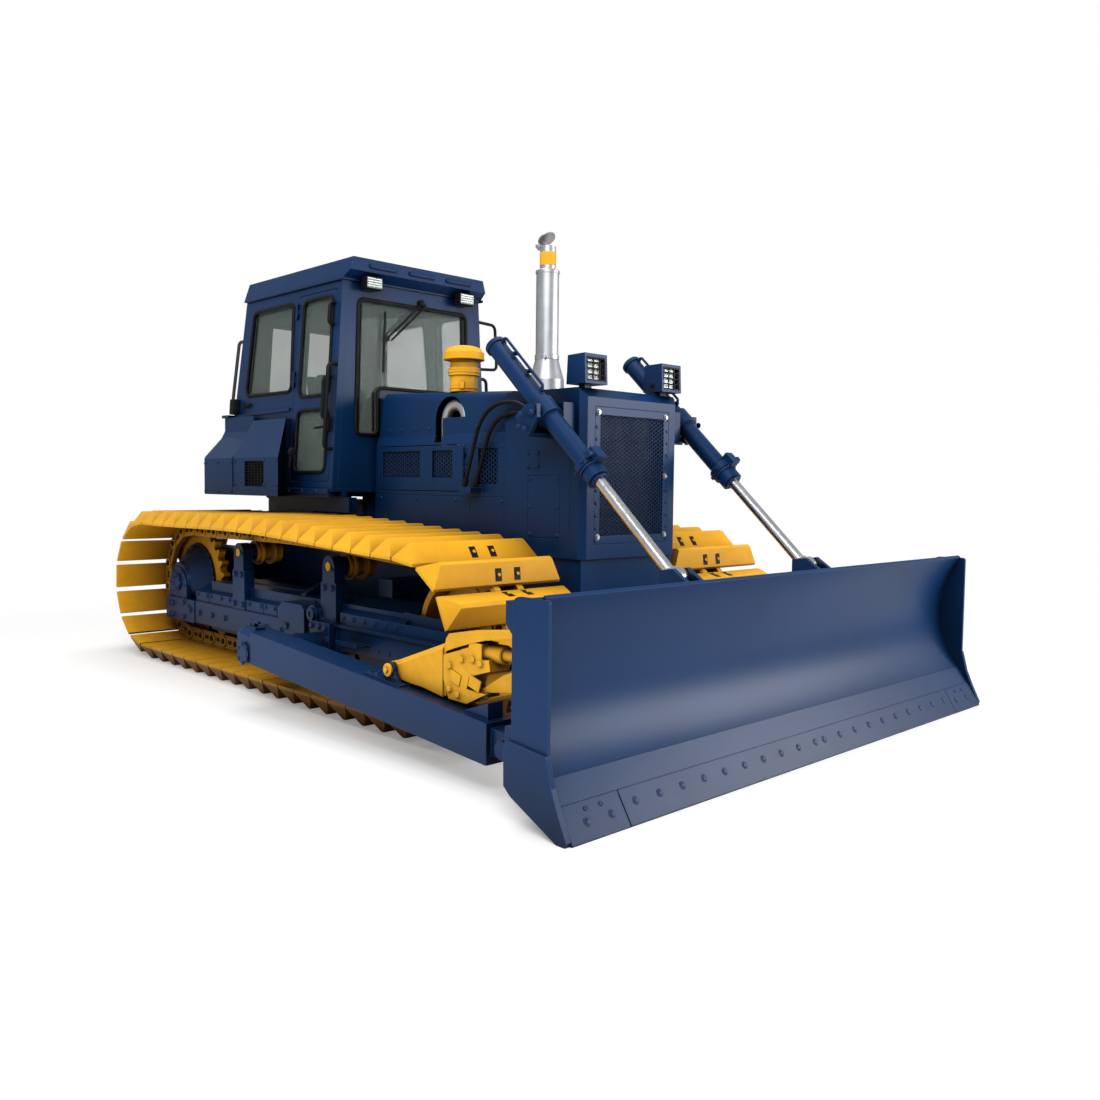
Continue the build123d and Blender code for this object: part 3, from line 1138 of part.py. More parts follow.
door_points = [(door_rear_x + door_gap, up_wall(door_low) + door_gap), (door_front_x - door_gap, up_wall(door_low)
               + door_gap), (door_front_x - door_gap, up_wall(door_high) - door_gap),
               (door_rear_x + door_gap, up_wall(door_high) - door_gap)]
with BuildPart() as door:
    with BuildSketch(wall_plane):
        add(rounded(door_points, 26))
        for window in door_windows:
            add(rounded(window, window_corner), mode=Mode.SUBTRACT)
    extrude(amount=-cab_wall)
    for _, moving in door_hinges:
        add(moving)
save_pair(door, "door")

with BuildPart() as door_glass:
    for window in door_windows:
        with BuildSketch(wall_plane.offset(-cab_wall / 2)):
            offset(rounded(window, window_corner), amount=-fit_gap)
        extrude(amount=glass)
save_pair(door_glass, "door_glass")

windscreen_high, windscreen_half = 2830.0, 545.0
hood_line_z = hood_high_rear + 60
leg_low_z, leg_half = 1820.0, 345.0
windscreen = [(-windscreen_half, leg_low_z), (-leg_half, leg_low_z), (-leg_half, hood_line_z), (leg_half, hood_line_z),
              (leg_half, leg_low_z), (windscreen_half, leg_low_z), (windscreen_half - 30, windscreen_high),
              (-windscreen_half + 30, windscreen_high)]
with BuildPart() as cab_front:
    with BuildSketch(Plane.YZ.offset(cab_front_x)):
        with BuildLine():
            Polyline(*cab_section(cab_wall / cos(lean) + fit_gap), close=True)
        make_face()
        add(rounded(windscreen, 50), mode=Mode.SUBTRACT)
    extrude(amount=-cab_wall)
save(cab_front, "cab_front")

with BuildPart() as cab_rear:
    add(side_cut(-cab_half_low, 2 * cab_half_low, [
        (cab_rear_high_x, cab_top_z), (cab_rear_low_x, cab_rear_knee_z), (cab_rear_low_x, cab_floor_z),
        (cab_rear_low_x + cab_wall, cab_floor_z), (cab_rear_low_x + cab_wall, cab_rear_knee_z),
        (cab_rear_high_x + cab_wall, cab_top_z)]))
    with BuildSketch(Plane.YZ.offset(cab_rear_low_x - 10)):
        with BuildLine():
            Polyline(*cab_section(cab_wall / cos(lean) + fit_gap), close=True)
        make_face()
    extrude(amount=400, mode=Mode.INTERSECT)
    with BuildSketch(Plane.YZ.offset(cab_rear_low_x - 10)):
        with Locations((0, 2480)):
            RectangleRounded(920, 620, window_corner)
    extrude(amount=400, mode=Mode.SUBTRACT)
save(cab_rear, "cab_rear")

with BuildPart() as cab_floor:
    add(block(cab_rear_low_x + cab_wall + fit_gap, cab_front_x - cab_wall - fit_gap, -cab_half_low, cab_half_low,
              cab_floor_z, cab_floor_z + floor_plate))
    with BuildSketch(Plane.YZ.offset(cab_rear_low_x)):
        with BuildLine():
            Polyline(*cab_section(cab_wall / cos(lean) + fit_gap), close=True)
        make_face()
    extrude(amount=2000, mode=Mode.INTERSECT)
save(cab_floor, "cab_floor")

with BuildPart() as cab_glass:
    with BuildSketch(Plane.YZ.offset(cab_front_x - cab_wall / 2)):
        offset(rounded(windscreen, 50), amount=-fit_gap)
    extrude(amount=glass)
    for wall in (wall_plane, Plane(origin=(0, cab_half_low, cab_floor_z), x_dir=(1, 0, 0),
                                   z_dir=(0, -cos(lean), -sin(lean)))):
        depth = -cab_wall / 2 if wall is wall_plane else cab_wall / 2
        with BuildSketch(wall.offset(depth)):
            offset(rounded(side_window, window_corner), amount=-fit_gap)
        extrude(amount=glass)
    rear_turn = atan2(cab_rear_high_x - cab_rear_low_x, cab_top_z - cab_rear_knee_z)
    with BuildSketch(Plane(origin=(cab_rear_low_x + cab_wall / 2 + (2480 - cab_rear_knee_z) * tan(rear_turn), 0, 2480),
                           x_dir=(0, 1, 0), z_dir=(cos(rear_turn), 0, -sin(rear_turn)))):
        RectangleRounded(920 - 2 * fit_gap, 620 / cos(rear_turn) - 2 * move_gap, window_corner)
    extrude(amount=glass)
save(cab_glass, "cab_glass")

roof_front_x = cab_front_x + roof_overhang
roof_rear_x = cab_rear_high_x - 20
roof_low_half, roof_high_half = cab_half_high + 12, cab_half_high - 34
with BuildPart() as roof:
    add(side_cut(-roof_low_half, 2 * roof_low_half, [
        (roof_rear_x - 14, cab_top_z), (cab_front_x + 4, cab_top_z), (roof_front_x, roof_height - 95),
        (roof_front_x, roof_height), (roof_rear_x, roof_height)]))
    with BuildSketch(Plane.YZ.offset(roof_rear_x - 50)):
        with BuildLine():
            Polyline((-roof_low_half, cab_top_z), (roof_low_half, cab_top_z), (roof_high_half, roof_height),
                     (-roof_high_half, roof_height), close=True)
        make_face()
    extrude(amount=2000, mode=Mode.INTERSECT)
    add(block(roof_rear_x + 45, cab_front_x - 50, -roof_high_half + 40, roof_high_half - 40,
              cab_top_z - 5, roof_height - roof_sheet), mode=Mode.SUBTRACT)
save(roof, "cab_roof")

# ================================================================ platform, side boxes and tank
platform_high = cab_floor_z - cab_wall * sin(lean) - fit_gap
skirt_low = 1226.0
sill_rear_x = box_corner_x + 16
with BuildPart() as platform:
    add(block(cab_rear_low_x, cab_front_x, -cab_half_low, cab_half_low, platform_high - 25, platform_high))
    for y in (-cab_half_low + 90, -330, 290, cab_half_low - 130):
        add(block(cab_rear_low_x, cab_front_x, y, y + 40, platform_low, platform_high - 25))
    for x, z in ((-900, hull_high), (-1350, hull_high), (-1700, rear_case_high), (-2150, rear_case_high)):
        for y in (-330, 250):
            add(block(x - 40, x + 40, y, y + 80, z, platform_low))
    # sill steps under the doors
    for y in (cab_half_low - 2, -cab_half_low - 20):
        add(block(sill_rear_x, cab_front_x - 30, y, y + 22, 1363, 1401))
        add(block(sill_rear_x, cab_front_x - 30, y + (10 if y < 0 else -40), y + (62 if y < 0 else 12),
                  platform_low, 1376))
save(platform, "platform")

# guards that hang between the platform and the tracks
with BuildPart() as skirts:
    add(side_cut(640, 12, [
        (box_rear_x, platform_low - fit_gap), (box_rear_x, 1322), (-1800, 1300), (-1736, 1262), (-1704, skirt_low),
        (-640, skirt_low), (-640, platform_low - fit_gap)]))
    for x in (-1690, -1250, -1060, -680):
        add(block(x, x + 12, 560, 640, skirt_low, platform_low - fit_gap))
save_both(skirts, "under_skirts")

with BuildPart() as side_box:
    with BuildSketch(Plane.YZ.offset(box_rear_x)):
        with BuildLine():
            Polyline((-cab_half_low - fit_gap, platform_low), (-box_half, platform_low), (-box_half, box_ledge_z),
                     (box_inset - box_half, box_ledge_z), (box_inset - box_half, box_shoulder_z),
                     (-box_top_half, box_top_z), (-cab_half(box_top_z) - fit_gap, box_top_z),
                     (-cab_half_low - fit_gap, cab_floor_z), close=True)
        make_face()
    extrude(amount=box_front_x - box_rear_x)
    # the front face stands at an angle, so that the open door lies along it
    with BuildSketch(Plane.XY.offset(platform_low)):
        with BuildLine():
            Polyline((box_rear_x, -box_half), (box_front_x, -box_half), (box_corner_x, -box_top_half),
                     (box_corner_x, -600), (box_rear_x, -600), close=True)
        make_face()
    extrude(amount=1000, mode=Mode.INTERSECT)
    # recess of the air vent
    add(block(vent_x - vent_width / 2, vent_x + vent_width / 2, box_half - box_inset - 30, box_half + 5,
              vent_z - vent_height / 2, vent_z + vent_height / 2), mode=Mode.SUBTRACT)
save_both(side_box, "side_boxes")


def tank_section(inset):
    """Cross-section of the tank, inset from its outer faces."""
    return [(inset - box_half, platform_low), (inset - box_half, box_shoulder_z),
            (inset - box_top_half - 24, tank_shoulder_z - 34), (inset - box_top_half, tank_shoulder_z + 14),
            (inset - box_top_half, tank_top_z - inset)]


with BuildPart() as tank:
    for inset, length in ((0, box_rear_x - seam - tank_rear_x), (seam, box_rear_x - fit_gap - tank_rear_x)):
        half_section = tank_section(inset)
        with BuildSketch(Plane.YZ.offset(tank_rear_x)):
            with BuildLine():
                Polyline(*half_section, *[(-y, z) for y, z in reversed(half_section)], close=True)
            make_face()
        extrude(amount=length)
    chamfer(edges().filter_by(Axis.Z).group_by(Axis.X)[0], length=14)
    # lid along the back, and the filler's neck
    add(block(tank_rear_x - 14, cab_rear_low_x - 2, -box_top_half - 14, box_top_half + 14, tank_top_z - 2, 2012))
    add(block(tank_rear_x + 30, cab_rear_low_x - 2, -box_top_half + 30, -box_top_half + 170, 2010, 2036))
    with Locations((tank_rear_x + 50, 420, 2040)):
        Cylinder(46, 70)
    add(block(cab_rear_low_x - fit_gap, box_rear_x + 10, -cab_half_low - fit_gap, cab_half_low + fit_gap,
              platform_low - 100, tank_top_z + 100), mode=Mode.SUBTRACT)
save(tank, "fuel_tank")

# ================================================================ inside the cab
seat_x = -1650.0
with BuildPart() as seat:
    floor = cab_floor_z + floor_plate
    add(block(seat_x - 200, seat_x + 200, -200, 200, floor, floor + 300))
    with Locations((seat_x, 0, floor + 360)):
        Box(520, 520, 120)
    fillet(seat.edges().group_by(Axis.Z)[-1], radius=30)
    add(side_cut(-250, 500, [(seat_x - 230, floor + 300), (seat_x - 340, floor + 950), (seat_x - 240, floor + 950),
                             (seat_x - 120, floor + 300)]))
save(seat, "operator_seat")

with BuildPart() as console:
    for side in (-1, 1):
        y = side * 390 - 70
        add(side_cut(y, 140, [(seat_x - 200, floor), (seat_x + 300, floor), (seat_x + 300, floor + 480),
                              (seat_x - 200, floor + 520)]))
    add(side_cut(-300, 600, [(cab_front_x - cab_wall - 260, floor), (cab_front_x - cab_wall - 2, floor),
                             (cab_front_x - cab_wall - 2, floor + 640), (cab_front_x - cab_wall - 120, floor + 680),
                             (cab_front_x - cab_wall - 260, floor + 560)]))
    for x, y in ((seat_x + 240, -390), (seat_x + 240, 390), (seat_x + 130, 390)):
        with Locations((x, y, floor + 560)):
            Cylinder(12, 200)
        with Locations((x, y, floor + 670)):
            Sphere(26)
save(console, "control_console")

# ================================================================ lamps and rails
lamp_table = ((guard_front_x + 15, 357.5), (guard_front_x + 15, -357.5))
with BuildPart() as lamps:
    for front, y in lamp_table:
        add(side_cut(y - 97.5, 195, [(front, guard_high + 20), (front - 8, guard_high + 200), (front - 150,
                     guard_high + 195), (front - 160, guard_high + 20)]))
        add(block(front - 45, front + 10, y - 82, y + 82, guard_high + 38, guard_high + 180), mode=Mode.SUBTRACT)
        add(block(front - 120, front - 70, y - 30, y + 30, guard_high + fit_gap, guard_high + 20))
    for y in (-445, 445):
        with Locations((cab_front_x + 30 + fit_gap, y, 2925)):
            Box(60, 105, 62)
save(lamps, "work_lamps")

rail_high_z, rail_low_z, rail_reach = 2640.0, 2130.0, 110.0


def cab_rear_at(z):
    """Rear edge of the cab's side above its knee."""
    return cab_rear_low_x + (z - cab_rear_knee_z) / (cab_top_z - cab_rear_knee_z) * (cab_rear_high_x - cab_rear_low_x)


with BuildPart() as rails:
    ends = []
    for z in (rail_high_z, rail_low_z):
        ends.append((cab_rear_at(z - 14) - fit_gap, -cab_half(z) + cab_wall / 2, z))
    (x0, y0, z0), (x1, y1, z1) = ends
    add(pipe(14, [ends[0], (x0 - rail_reach, y0, z0), (x1 - rail_reach, y1, z1), ends[1]], 40))
save_both(rails, "handrails")
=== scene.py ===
"""Finish and small parts of a crawler dozer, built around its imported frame.

The frame gives every structural piece at its real place, in metres, with +X forward, +Y to the
machine's left and +Z up. This script gives each piece its paint, rubber, glass or metal, and adds
what a maker fits last: bolts, seals, perforated sheets, lamps, handles and the seat's cushions.
"""

import json
import math

import bmesh
import bpy
from bpy.props import FloatProperty, FloatVectorProperty, PointerProperty
from mathutils import Matrix, Vector


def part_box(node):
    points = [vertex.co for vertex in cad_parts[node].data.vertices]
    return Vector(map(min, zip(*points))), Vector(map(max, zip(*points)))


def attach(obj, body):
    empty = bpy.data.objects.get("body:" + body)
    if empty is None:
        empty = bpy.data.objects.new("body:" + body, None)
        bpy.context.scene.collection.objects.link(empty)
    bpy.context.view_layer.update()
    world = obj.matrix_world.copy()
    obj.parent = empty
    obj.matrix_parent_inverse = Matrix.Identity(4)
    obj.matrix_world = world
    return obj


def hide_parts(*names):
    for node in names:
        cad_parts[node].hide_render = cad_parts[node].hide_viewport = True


bl_info = {
    "name": "Crawler dozer finish",
    "version": (1, 0, 0),
    "blender": (4, 5, 0),
    "location": "3D View > Sidebar > Dozer",
    "description": "Paints a crawler dozer and fits its bolts, seals, lamps and cushions",
    "category": "Object",
}

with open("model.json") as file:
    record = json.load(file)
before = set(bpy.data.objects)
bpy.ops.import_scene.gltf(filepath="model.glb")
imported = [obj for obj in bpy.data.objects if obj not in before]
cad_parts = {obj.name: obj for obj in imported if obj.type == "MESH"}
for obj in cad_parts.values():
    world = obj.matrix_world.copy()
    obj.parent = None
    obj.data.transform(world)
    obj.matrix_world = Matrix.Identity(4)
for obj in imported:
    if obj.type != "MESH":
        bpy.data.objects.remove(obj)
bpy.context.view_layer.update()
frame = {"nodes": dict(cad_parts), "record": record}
NODES = frame["nodes"]

# --- colours, sRGB hex -----------------------------------------------------------------------


def linear(colour):
    """An sRGB hex colour such as "#24406f" as linear red, green, blue and full alpha."""
    parts = [int(colour[i : i + 2], 16) / 255 for i in (1, 3, 5)]
    return [c / 12.92 if c <= 0.04045 else ((c + 0.055) / 1.055) ** 2.4 for c in parts] + [1.0]


def colour_value(colour):
    """A hex colour as the three linear numbers that a colour property holds."""
    return tuple(linear(colour)[:3])


class DozerColours(bpy.types.PropertyGroup):
    """Paint colours that a user would change."""

    body_paint: FloatVectorProperty(
        name="Body paint", description="Navy enamel of the body", subtype="COLOR",
        default=colour_value("#08305c"), min=0.0, max=1.0,
    )
    track_paint: FloatVectorProperty(
        name="Track paint", description="Yellow enamel of the tracks and braces", subtype="COLOR",
        default=colour_value("#f6b425"), min=0.0, max=1.0,
    )
    seat_cloth: FloatVectorProperty(
        name="Seat cloth", description="Woven cover of the operator's seat", subtype="COLOR",
        default=colour_value("#2b2d30"), min=0.0, max=1.0,
    )


class DozerSizes(bpy.types.PropertyGroup):
    """Sizes of the small parts."""

    seal_radius: FloatProperty(
        name="Seal radius", description="Half width of a window seal", subtype="DISTANCE",
        unit="LENGTH", default=0.013, min=0.003,
    )
    frame_bolt: FloatProperty(
        name="Frame bolt", description="Width across flats of the bolts on frame and girders",
        subtype="DISTANCE", unit="LENGTH", default=0.036, min=0.01,
    )
    edge_bolt: FloatProperty(
        name="Edge bolt", description="Diameter of a plough bolt's head in the cutting edge",
        subtype="DISTANCE", unit="LENGTH", default=0.040, min=0.01,
    )
    hole_pitch: FloatProperty(
        name="Hole pitch", description="Distance between holes in the perforated sheets",
        subtype="DISTANCE", unit="LENGTH", default=0.025, min=0.012,
    )
    guard_bar: FloatProperty(
        name="Guard bar", description="Radius of the wires over a lamp", subtype="DISTANCE",
        unit="LENGTH", default=0.004, min=0.001,
    )


# --- materials --------------------------------------------------------------------------------


def add_node(tree, kind, inputs=None, **settings):
    """Adds a node, sets its properties, and feeds each input from a value or another socket."""
    node = tree.nodes.new(kind)
    for name, value in settings.items():
        setattr(node, name, value)
    for name, value in (inputs or {}).items():
        if isinstance(value, bpy.types.NodeSocket):
            tree.links.new(value, node.inputs[name])
        else:
            node.inputs[name].default_value = value
    return node


def new_material(name, **surface):
    """A material with a principled surface, its inputs set, and object coordinates in metres."""
    material = bpy.data.materials.new(name)
    material.use_nodes = True
    tree = material.node_tree
    shader = tree.nodes["Principled BSDF"]
    for socket, value in surface.items():
        shader.inputs[socket.replace("_", " ")].default_value = value
    place = add_node(tree, "ShaderNodeTexCoord").outputs["Object"]
    return material, tree, shader, place


def mixed(tree, factor, one, two, blend="MIX"):
    """Colour socket that goes from one to two, each a colour or a socket, by a factor."""
    node = add_node(tree, "ShaderNodeMix", data_type="RGBA", blend_type=blend)
    for slot, value in ((0, factor), (6, one), (7, two)):
        if isinstance(value, bpy.types.NodeSocket):
            tree.links.new(value, node.inputs[slot])
        else:
            node.inputs[slot].default_value = value
    return node.outputs[2]


def ramp(tree, value, low, high, to_low=0.0, to_high=1.0):
    """Value carried from one range to another and held at its ends."""
    return add_node(tree, "ShaderNodeMapRange", {"Value": value, "From Min": low, "From Max": high,
                    "To Min": to_low, "To Max": to_high}).outputs["Result"]


def noise(tree, place, scale, detail, **more):
    """Fractal noise from 0 to 1 over coordinates in metres."""
    return add_node(tree, "ShaderNodeTexNoise", {"Vector": place, "Scale": scale,
                    "Detail": detail, **more}).outputs["Fac"]


def waves(tree, place, way, scale, distortion=0.0):
    """Regular bands from 0 to 1 along one direction."""
    return add_node(tree, "ShaderNodeTexWave", {"Vector": place, "Scale": scale,
                    "Distortion": distortion}, bands_direction=way).outputs["Fac"]


def calculated(tree, operation, one, two):
    """Result of an operation on two numbers or sockets."""
    return add_node(tree, "ShaderNodeMath", {0: one, 1: two}, operation=operation).outputs[0]


def embossed(tree, height, strength, distance, **more):
    """Normal socket that a height raises by up to this distance in metres."""
    return add_node(tree, "ShaderNodeBump", {"Height": height, "Strength": strength,
                    "Distance": distance, **more}).outputs["Normal"]


def feed(tree, shader, **sockets):
    """Links sockets into a surface's inputs, each named with underscores for its spaces."""
    for name, socket in sockets.items():
        tree.links.new(socket, shader.inputs[name.replace("_", " ")])


def sprayed_enamel(name, colour, shade, rubbed_and_highlit, dust, rough, dust_high, dust_share):
    """Alkyd enamel sprayed on rolled plate. It gives the eye a satin gloss with orange peel,
    rounded edges lightened by a painted highlight with some paint wearing through, painted shade
    darkening corners, recesses and gaps between parts, and low site dust."""
    material, tree, shader, place = new_material(name, IOR=1.5, Specular_IOR_Level=0.16,
                                                 Coat_Weight=0.06, Coat_Roughness=0.25)
    # orange peel is about 2 mm; it is drawn at 6 mm so that it shows
    fine = noise(tree, place, 170.0, 2.0)
    tone = ramp(tree, noise(tree, place, 1.6, 4.0), 0.3, 0.7, 0.88, 1.10)
    grey = add_node(tree, "ShaderNodeCombineColor", {"Red": tone, "Green": tone, "Blue": tone})
    toned = mixed(tree, 1.0, colour, grey.outputs["Color"], "MULTIPLY")
    # painted shade: ambient occlusion darkens the colour towards the shade colour in corners,
    # recesses and between parts
    corner = add_node(tree, "ShaderNodeAmbientOcclusion", {"Distance": 0.50}, samples=16)
    painted = mixed(tree, ramp(tree, corner.outputs["AO"], 0.30, 0.95), shade, toned)
    # plate edges are rounded by 4 mm; a painted highlight lightens the colour along them, standing
    # also for paint wearing through there
    rounded = add_node(tree, "ShaderNodeBevel", {"Radius": 0.004}, samples=4).outputs["Normal"]
    flat = add_node(tree, "ShaderNodeNewGeometry").outputs["Normal"]
    along = add_node(tree, "ShaderNodeVectorMath", {0: rounded, 1: flat}, operation="DOT_PRODUCT")
    worn_and_highlit = ramp(tree, along.outputs["Value"], 0.985, 0.80, 0.0, 0.55)
    # painted highlight along the edges, mixed with paint wearing through
    painted = mixed(tree, worn_and_highlit, painted, rubbed_and_highlit)
    height = add_node(tree, "ShaderNodeSeparateXYZ", {"Vector": place}).outputs["Z"]
    patch = ramp(tree, noise(tree, place, 7.0, 6.0, Roughness=0.65), 0.42, 0.72, 0.0, dust_share)
    dusty = calculated(tree, "MULTIPLY", ramp(tree, height, 0.0, dust_high, 1.0, 0.0), patch)
    gloss = ramp(tree, fine, 0.2, 0.8, rough - 0.05, rough + 0.08)
    feed(tree, shader, Base_Color=mixed(tree, dusty, painted, dust),
         Roughness=calculated(tree, "ADD", gloss, dusty),
         Normal=embossed(tree, fine, 0.22, 0.002, Normal=rounded))
    return material


def worn_steel(name, colour, dark, rough, scale):
    """Bare or plated steel, drawn or rolled. Fine streaks along its length and cloudy handling
    marks change the gloss more than the colour."""
    material, tree, shader, place = new_material(name, Metallic=1.0)
    stretched = add_node(tree, "ShaderNodeMapping", {"Vector": place, "Scale": (1.0, 1.0, 0.06)})
    streak = noise(tree, stretched.outputs["Vector"], scale, 4.0)
    cloud = ramp(tree, noise(tree, place, 9.0, 5.0), 0.35, 0.7)
    feed(tree, shader, Base_Color=mixed(tree, cloud, colour, dark),
         Roughness=ramp(tree, streak, 0.3, 0.7, rough - 0.04, rough + 0.09),
         Normal=embossed(tree, streak, 0.02, 0.001))
    return material


def matt_moulding(name, colour, worn_and_highlit, rough, grain):
    """Moulded rubber or plastic. A fine leather grain breaks up its low sheen, and rubbed patches
    are a little paler."""
    material, tree, shader, place = new_material(name, IOR=1.5, Specular_IOR_Level=0.2)
    cells = add_node(tree, "ShaderNodeTexVoronoi", {"Vector": place, "Scale": grain})
    rubbed_and_highlit = noise(tree, place, 11.0, 5.0)
    feed(tree, shader, Base_Color=mixed(tree, ramp(tree, rubbed_and_highlit, 0.45, 0.75), colour, worn_and_highlit),
         Roughness=ramp(tree, rubbed_and_highlit, 0.3, 0.7, rough + 0.08, rough - 0.08),
         Normal=embossed(tree, cells.outputs["Distance"], 0.18, 0.001))
    return material


def tinted_glass(name, colour):
    """Laminated safety glass with a grey-green tint: mostly see-through, with a mirror gloss that
    grows towards grazing, and faint wiping marks."""
    material, tree, shader, place = new_material(name, Roughness=0.02, IOR=1.5, Base_Color=colour,
                                                 Specular_IOR_Level=0.12)
    feed(tree, shader, Alpha=ramp(tree, noise(tree, place, 3.0, 3.0), 0.3, 0.7, 0.27, 0.32))
    return material


def woven_cloth(name, colour, pale):
    """Plain-woven polyester. The weave is 0.8 mm in the real cloth, drawn at 4 mm so it shows,
    with a soft sheen at grazing."""
    material, tree, shader, place = new_material(name, Roughness=0.85, Sheen_Weight=0.3,
                                                 Sheen_Roughness=0.5)
    weave = calculated(tree, "MULTIPLY", waves(tree, place, "Y", 78.0, 0.6),
                       waves(tree, place, "DIAGONAL", 78.0, 0.6))
    feed(tree, shader, Base_Color=mixed(tree, weave, colour, pale),
         Normal=embossed(tree, weave, 0.35, 0.001))
    return material


def pressed_reflector(name):
    """Lamp glass over a pressed aluminium reflector: bright, with vertical flutes every 12 mm."""
    material, tree, shader, place = new_material(name, Metallic=0.75, Roughness=0.16,
                                                 Base_Color=linear("#b4b9b8"))
    flutes = calculated(tree, "ADD", waves(tree, place, "Y", 26.0), waves(tree, place, "Z", 18.0))
    feed(tree, shader, Normal=embossed(tree, flutes, 0.35, 0.003))
    return material


def make_materials(colours):
    """Every finish on the machine, by a short name."""
    navy = list(colours.body_paint) + [1.0]
    yellow = list(colours.track_paint) + [1.0]
    cloth = list(colours.seat_cloth) + [1.0]
    return {
        # each enamel: colour, painted shade for corners and recesses, painted edge highlight that
        # also stands for paint wearing through, dust, roughness, dust height and dust share
        "navy": sprayed_enamel("navy_enamel", navy, linear("#030b1c"), linear("#41649c"),
                               linear("#5c6470"), 0.33, 0.5, 0.05),
        "yellow": sprayed_enamel("yellow_enamel", yellow, linear("#54300a"), linear("#ffd25c"),
                                 linear("#8a6426"), 0.42, 1.5, 0.38),
        "chrome": worn_steel("hard_chrome_plate", linear("#e3e5e7"), linear("#cfd2d6"), 0.22, 60.0),
        "steel": worn_steel("aluminised_steel", linear("#cdd0d6"), linear("#bbbfc6"), 0.40, 45.0),
        "bolt": worn_steel("zinc_plated_steel", linear("#b9bcc0"), linear("#85898f"), 0.36, 90.0),
        "black": matt_moulding("black_rubber", linear("#08090a"), linear("#131416"), 0.50, 320.0),
        "iron": matt_moulding("cast_iron_blacked", linear("#0c0d10"), linear("#1a1c20"), 0.55,
                              140.0),
        "trim": matt_moulding("cab_trim_plastic", linear("#3c4143"), linear("#4b5052"), 0.60,
                              220.0),
        "glass": tinted_glass("tinted_safety_glass", linear("#7f8d87")),
        "cloth": woven_cloth("woven_polyester", cloth, linear("#4a4d52")),
        "reflector": pressed_reflector("pressed_aluminium_reflector"),
    }


FINISH = {}
SLOT_FINISH = {
    "blue_paint": "navy", "yellow_paint": "yellow", "edge_steel": "navy", "rod_chrome": "chrome",
    "cab_glass": "glass", "exhaust_steel": "steel", "black_trim": "trim", "cast_iron": "iron",
    "lamp_paint": "navy", "hose_rubber": "black",
}


class DOZER_OT_paint(bpy.types.Operator):
    """Gives every piece of the frame its finish"""

    bl_idname = "dozer.paint"
    bl_label = "Paint the frame"

    def execute(self, context):
        FINISH.update(make_materials(context.scene.dozer_colours))
        slots = {s["node"]: s["material_slot"] for s in frame["record"]["subparts"]}
        for name, node in NODES.items():
            node.data.materials.clear()
            node.data.materials.append(FINISH[SLOT_FINISH[slots[name]]])
        return {"FINISHED"}


# --- shaping helpers --------------------------------------------------------------------------

# which way Y goes on each side of the machine, and the word for it
SIDES = ((-1, "right"), (1, "left"))


def pick(*pieces):
    """Makes these pieces the only selected ones, the first of them active."""
    bpy.ops.object.select_all(action="DESELECT")
    for piece in pieces:
        piece.select_set(True)
    bpy.context.view_layer.objects.active = pieces[0]


def settle(piece, name, finish, body="chassis", smooth=0.38):
    """Puts a finished piece's place into its mesh, and gives it name, material, slot and body."""
    pick(piece)
    bpy.ops.object.transform_apply(location=True, rotation=True, scale=True)
    if smooth:
        bpy.ops.object.shade_smooth_by_angle(angle=smooth)
    piece.name = piece.data.name = name
    piece.data.materials.clear()
    piece.data.materials.append(FINISH[finish])
    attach(piece, body)
    return piece


def joined(pieces):
    """Joins pieces into the first one."""
    pick(*pieces)
    if len(pieces) > 1:
        bpy.ops.object.join()
    return bpy.context.view_layer.objects.active


def frame_at(point, out, up=(0.0, 0.0, 1.0)):
    """Matrix whose local Z looks along out and whose local Y leans towards up, at a point."""
    z = Vector(out).normalized()
    y = Vector(up) - z * z.dot(Vector(up))
    if y.length < 1e-4:
        y = Vector((1.0, 0.0, 0.0)) - z * z.x
    y.normalize()
    x = y.cross(z)
    return Matrix.Translation(point) @ Matrix((x, y, z)).transposed().to_4x4()


def copies(model, places):
    """One mesh of the model repeated at every matrix; the model itself is used up."""
    made = []
    for place in places:
        piece = model.copy()
        piece.data = model.data.copy()
        bpy.context.scene.collection.objects.link(piece)
        piece.matrix_world = place
        made.append(piece)
    old = model.data
    bpy.data.objects.remove(model)
    bpy.data.meshes.remove(old)
    return joined(made)


def chosen_faces(test):
    """In edit mode, selects just the faces whose centre and normal pass the test."""
    bpy.ops.mesh.select_mode(type="FACE")
    mesh = bmesh.from_edit_mesh(bpy.context.object.data)
    for face in mesh.faces:
        face.select_set(test(face.calc_center_median(), face.normal))
    bmesh.update_edit_mesh(bpy.context.object.data)


def bevelled(piece, width, segments=2, angle=0.6):
    """Rounds the sharp edges of a piece."""
    pick(piece)
    rounding = piece.modifiers.new("rounding", "BEVEL")
    rounding.width, rounding.segments, rounding.angle_limit = width, segments, angle
    rounding.limit_method = "ANGLE"
    bpy.ops.object.modifier_apply(modifier=rounding.name)
    return piece


def box_model(size, bevel=0.002, centre=(0.0, 0.0, 0.0)):
    """A block of this size with rounded edges, about a local centre."""
    bpy.ops.object.select_all(action="DESELECT")
    bpy.ops.mesh.primitive_cube_add(size=1.0, location=centre)
    piece = bpy.context.object
    piece.scale = size
    bpy.ops.object.transform_apply(location=True, scale=True, rotation=False)
    return bevelled(piece, bevel) if bevel else piece


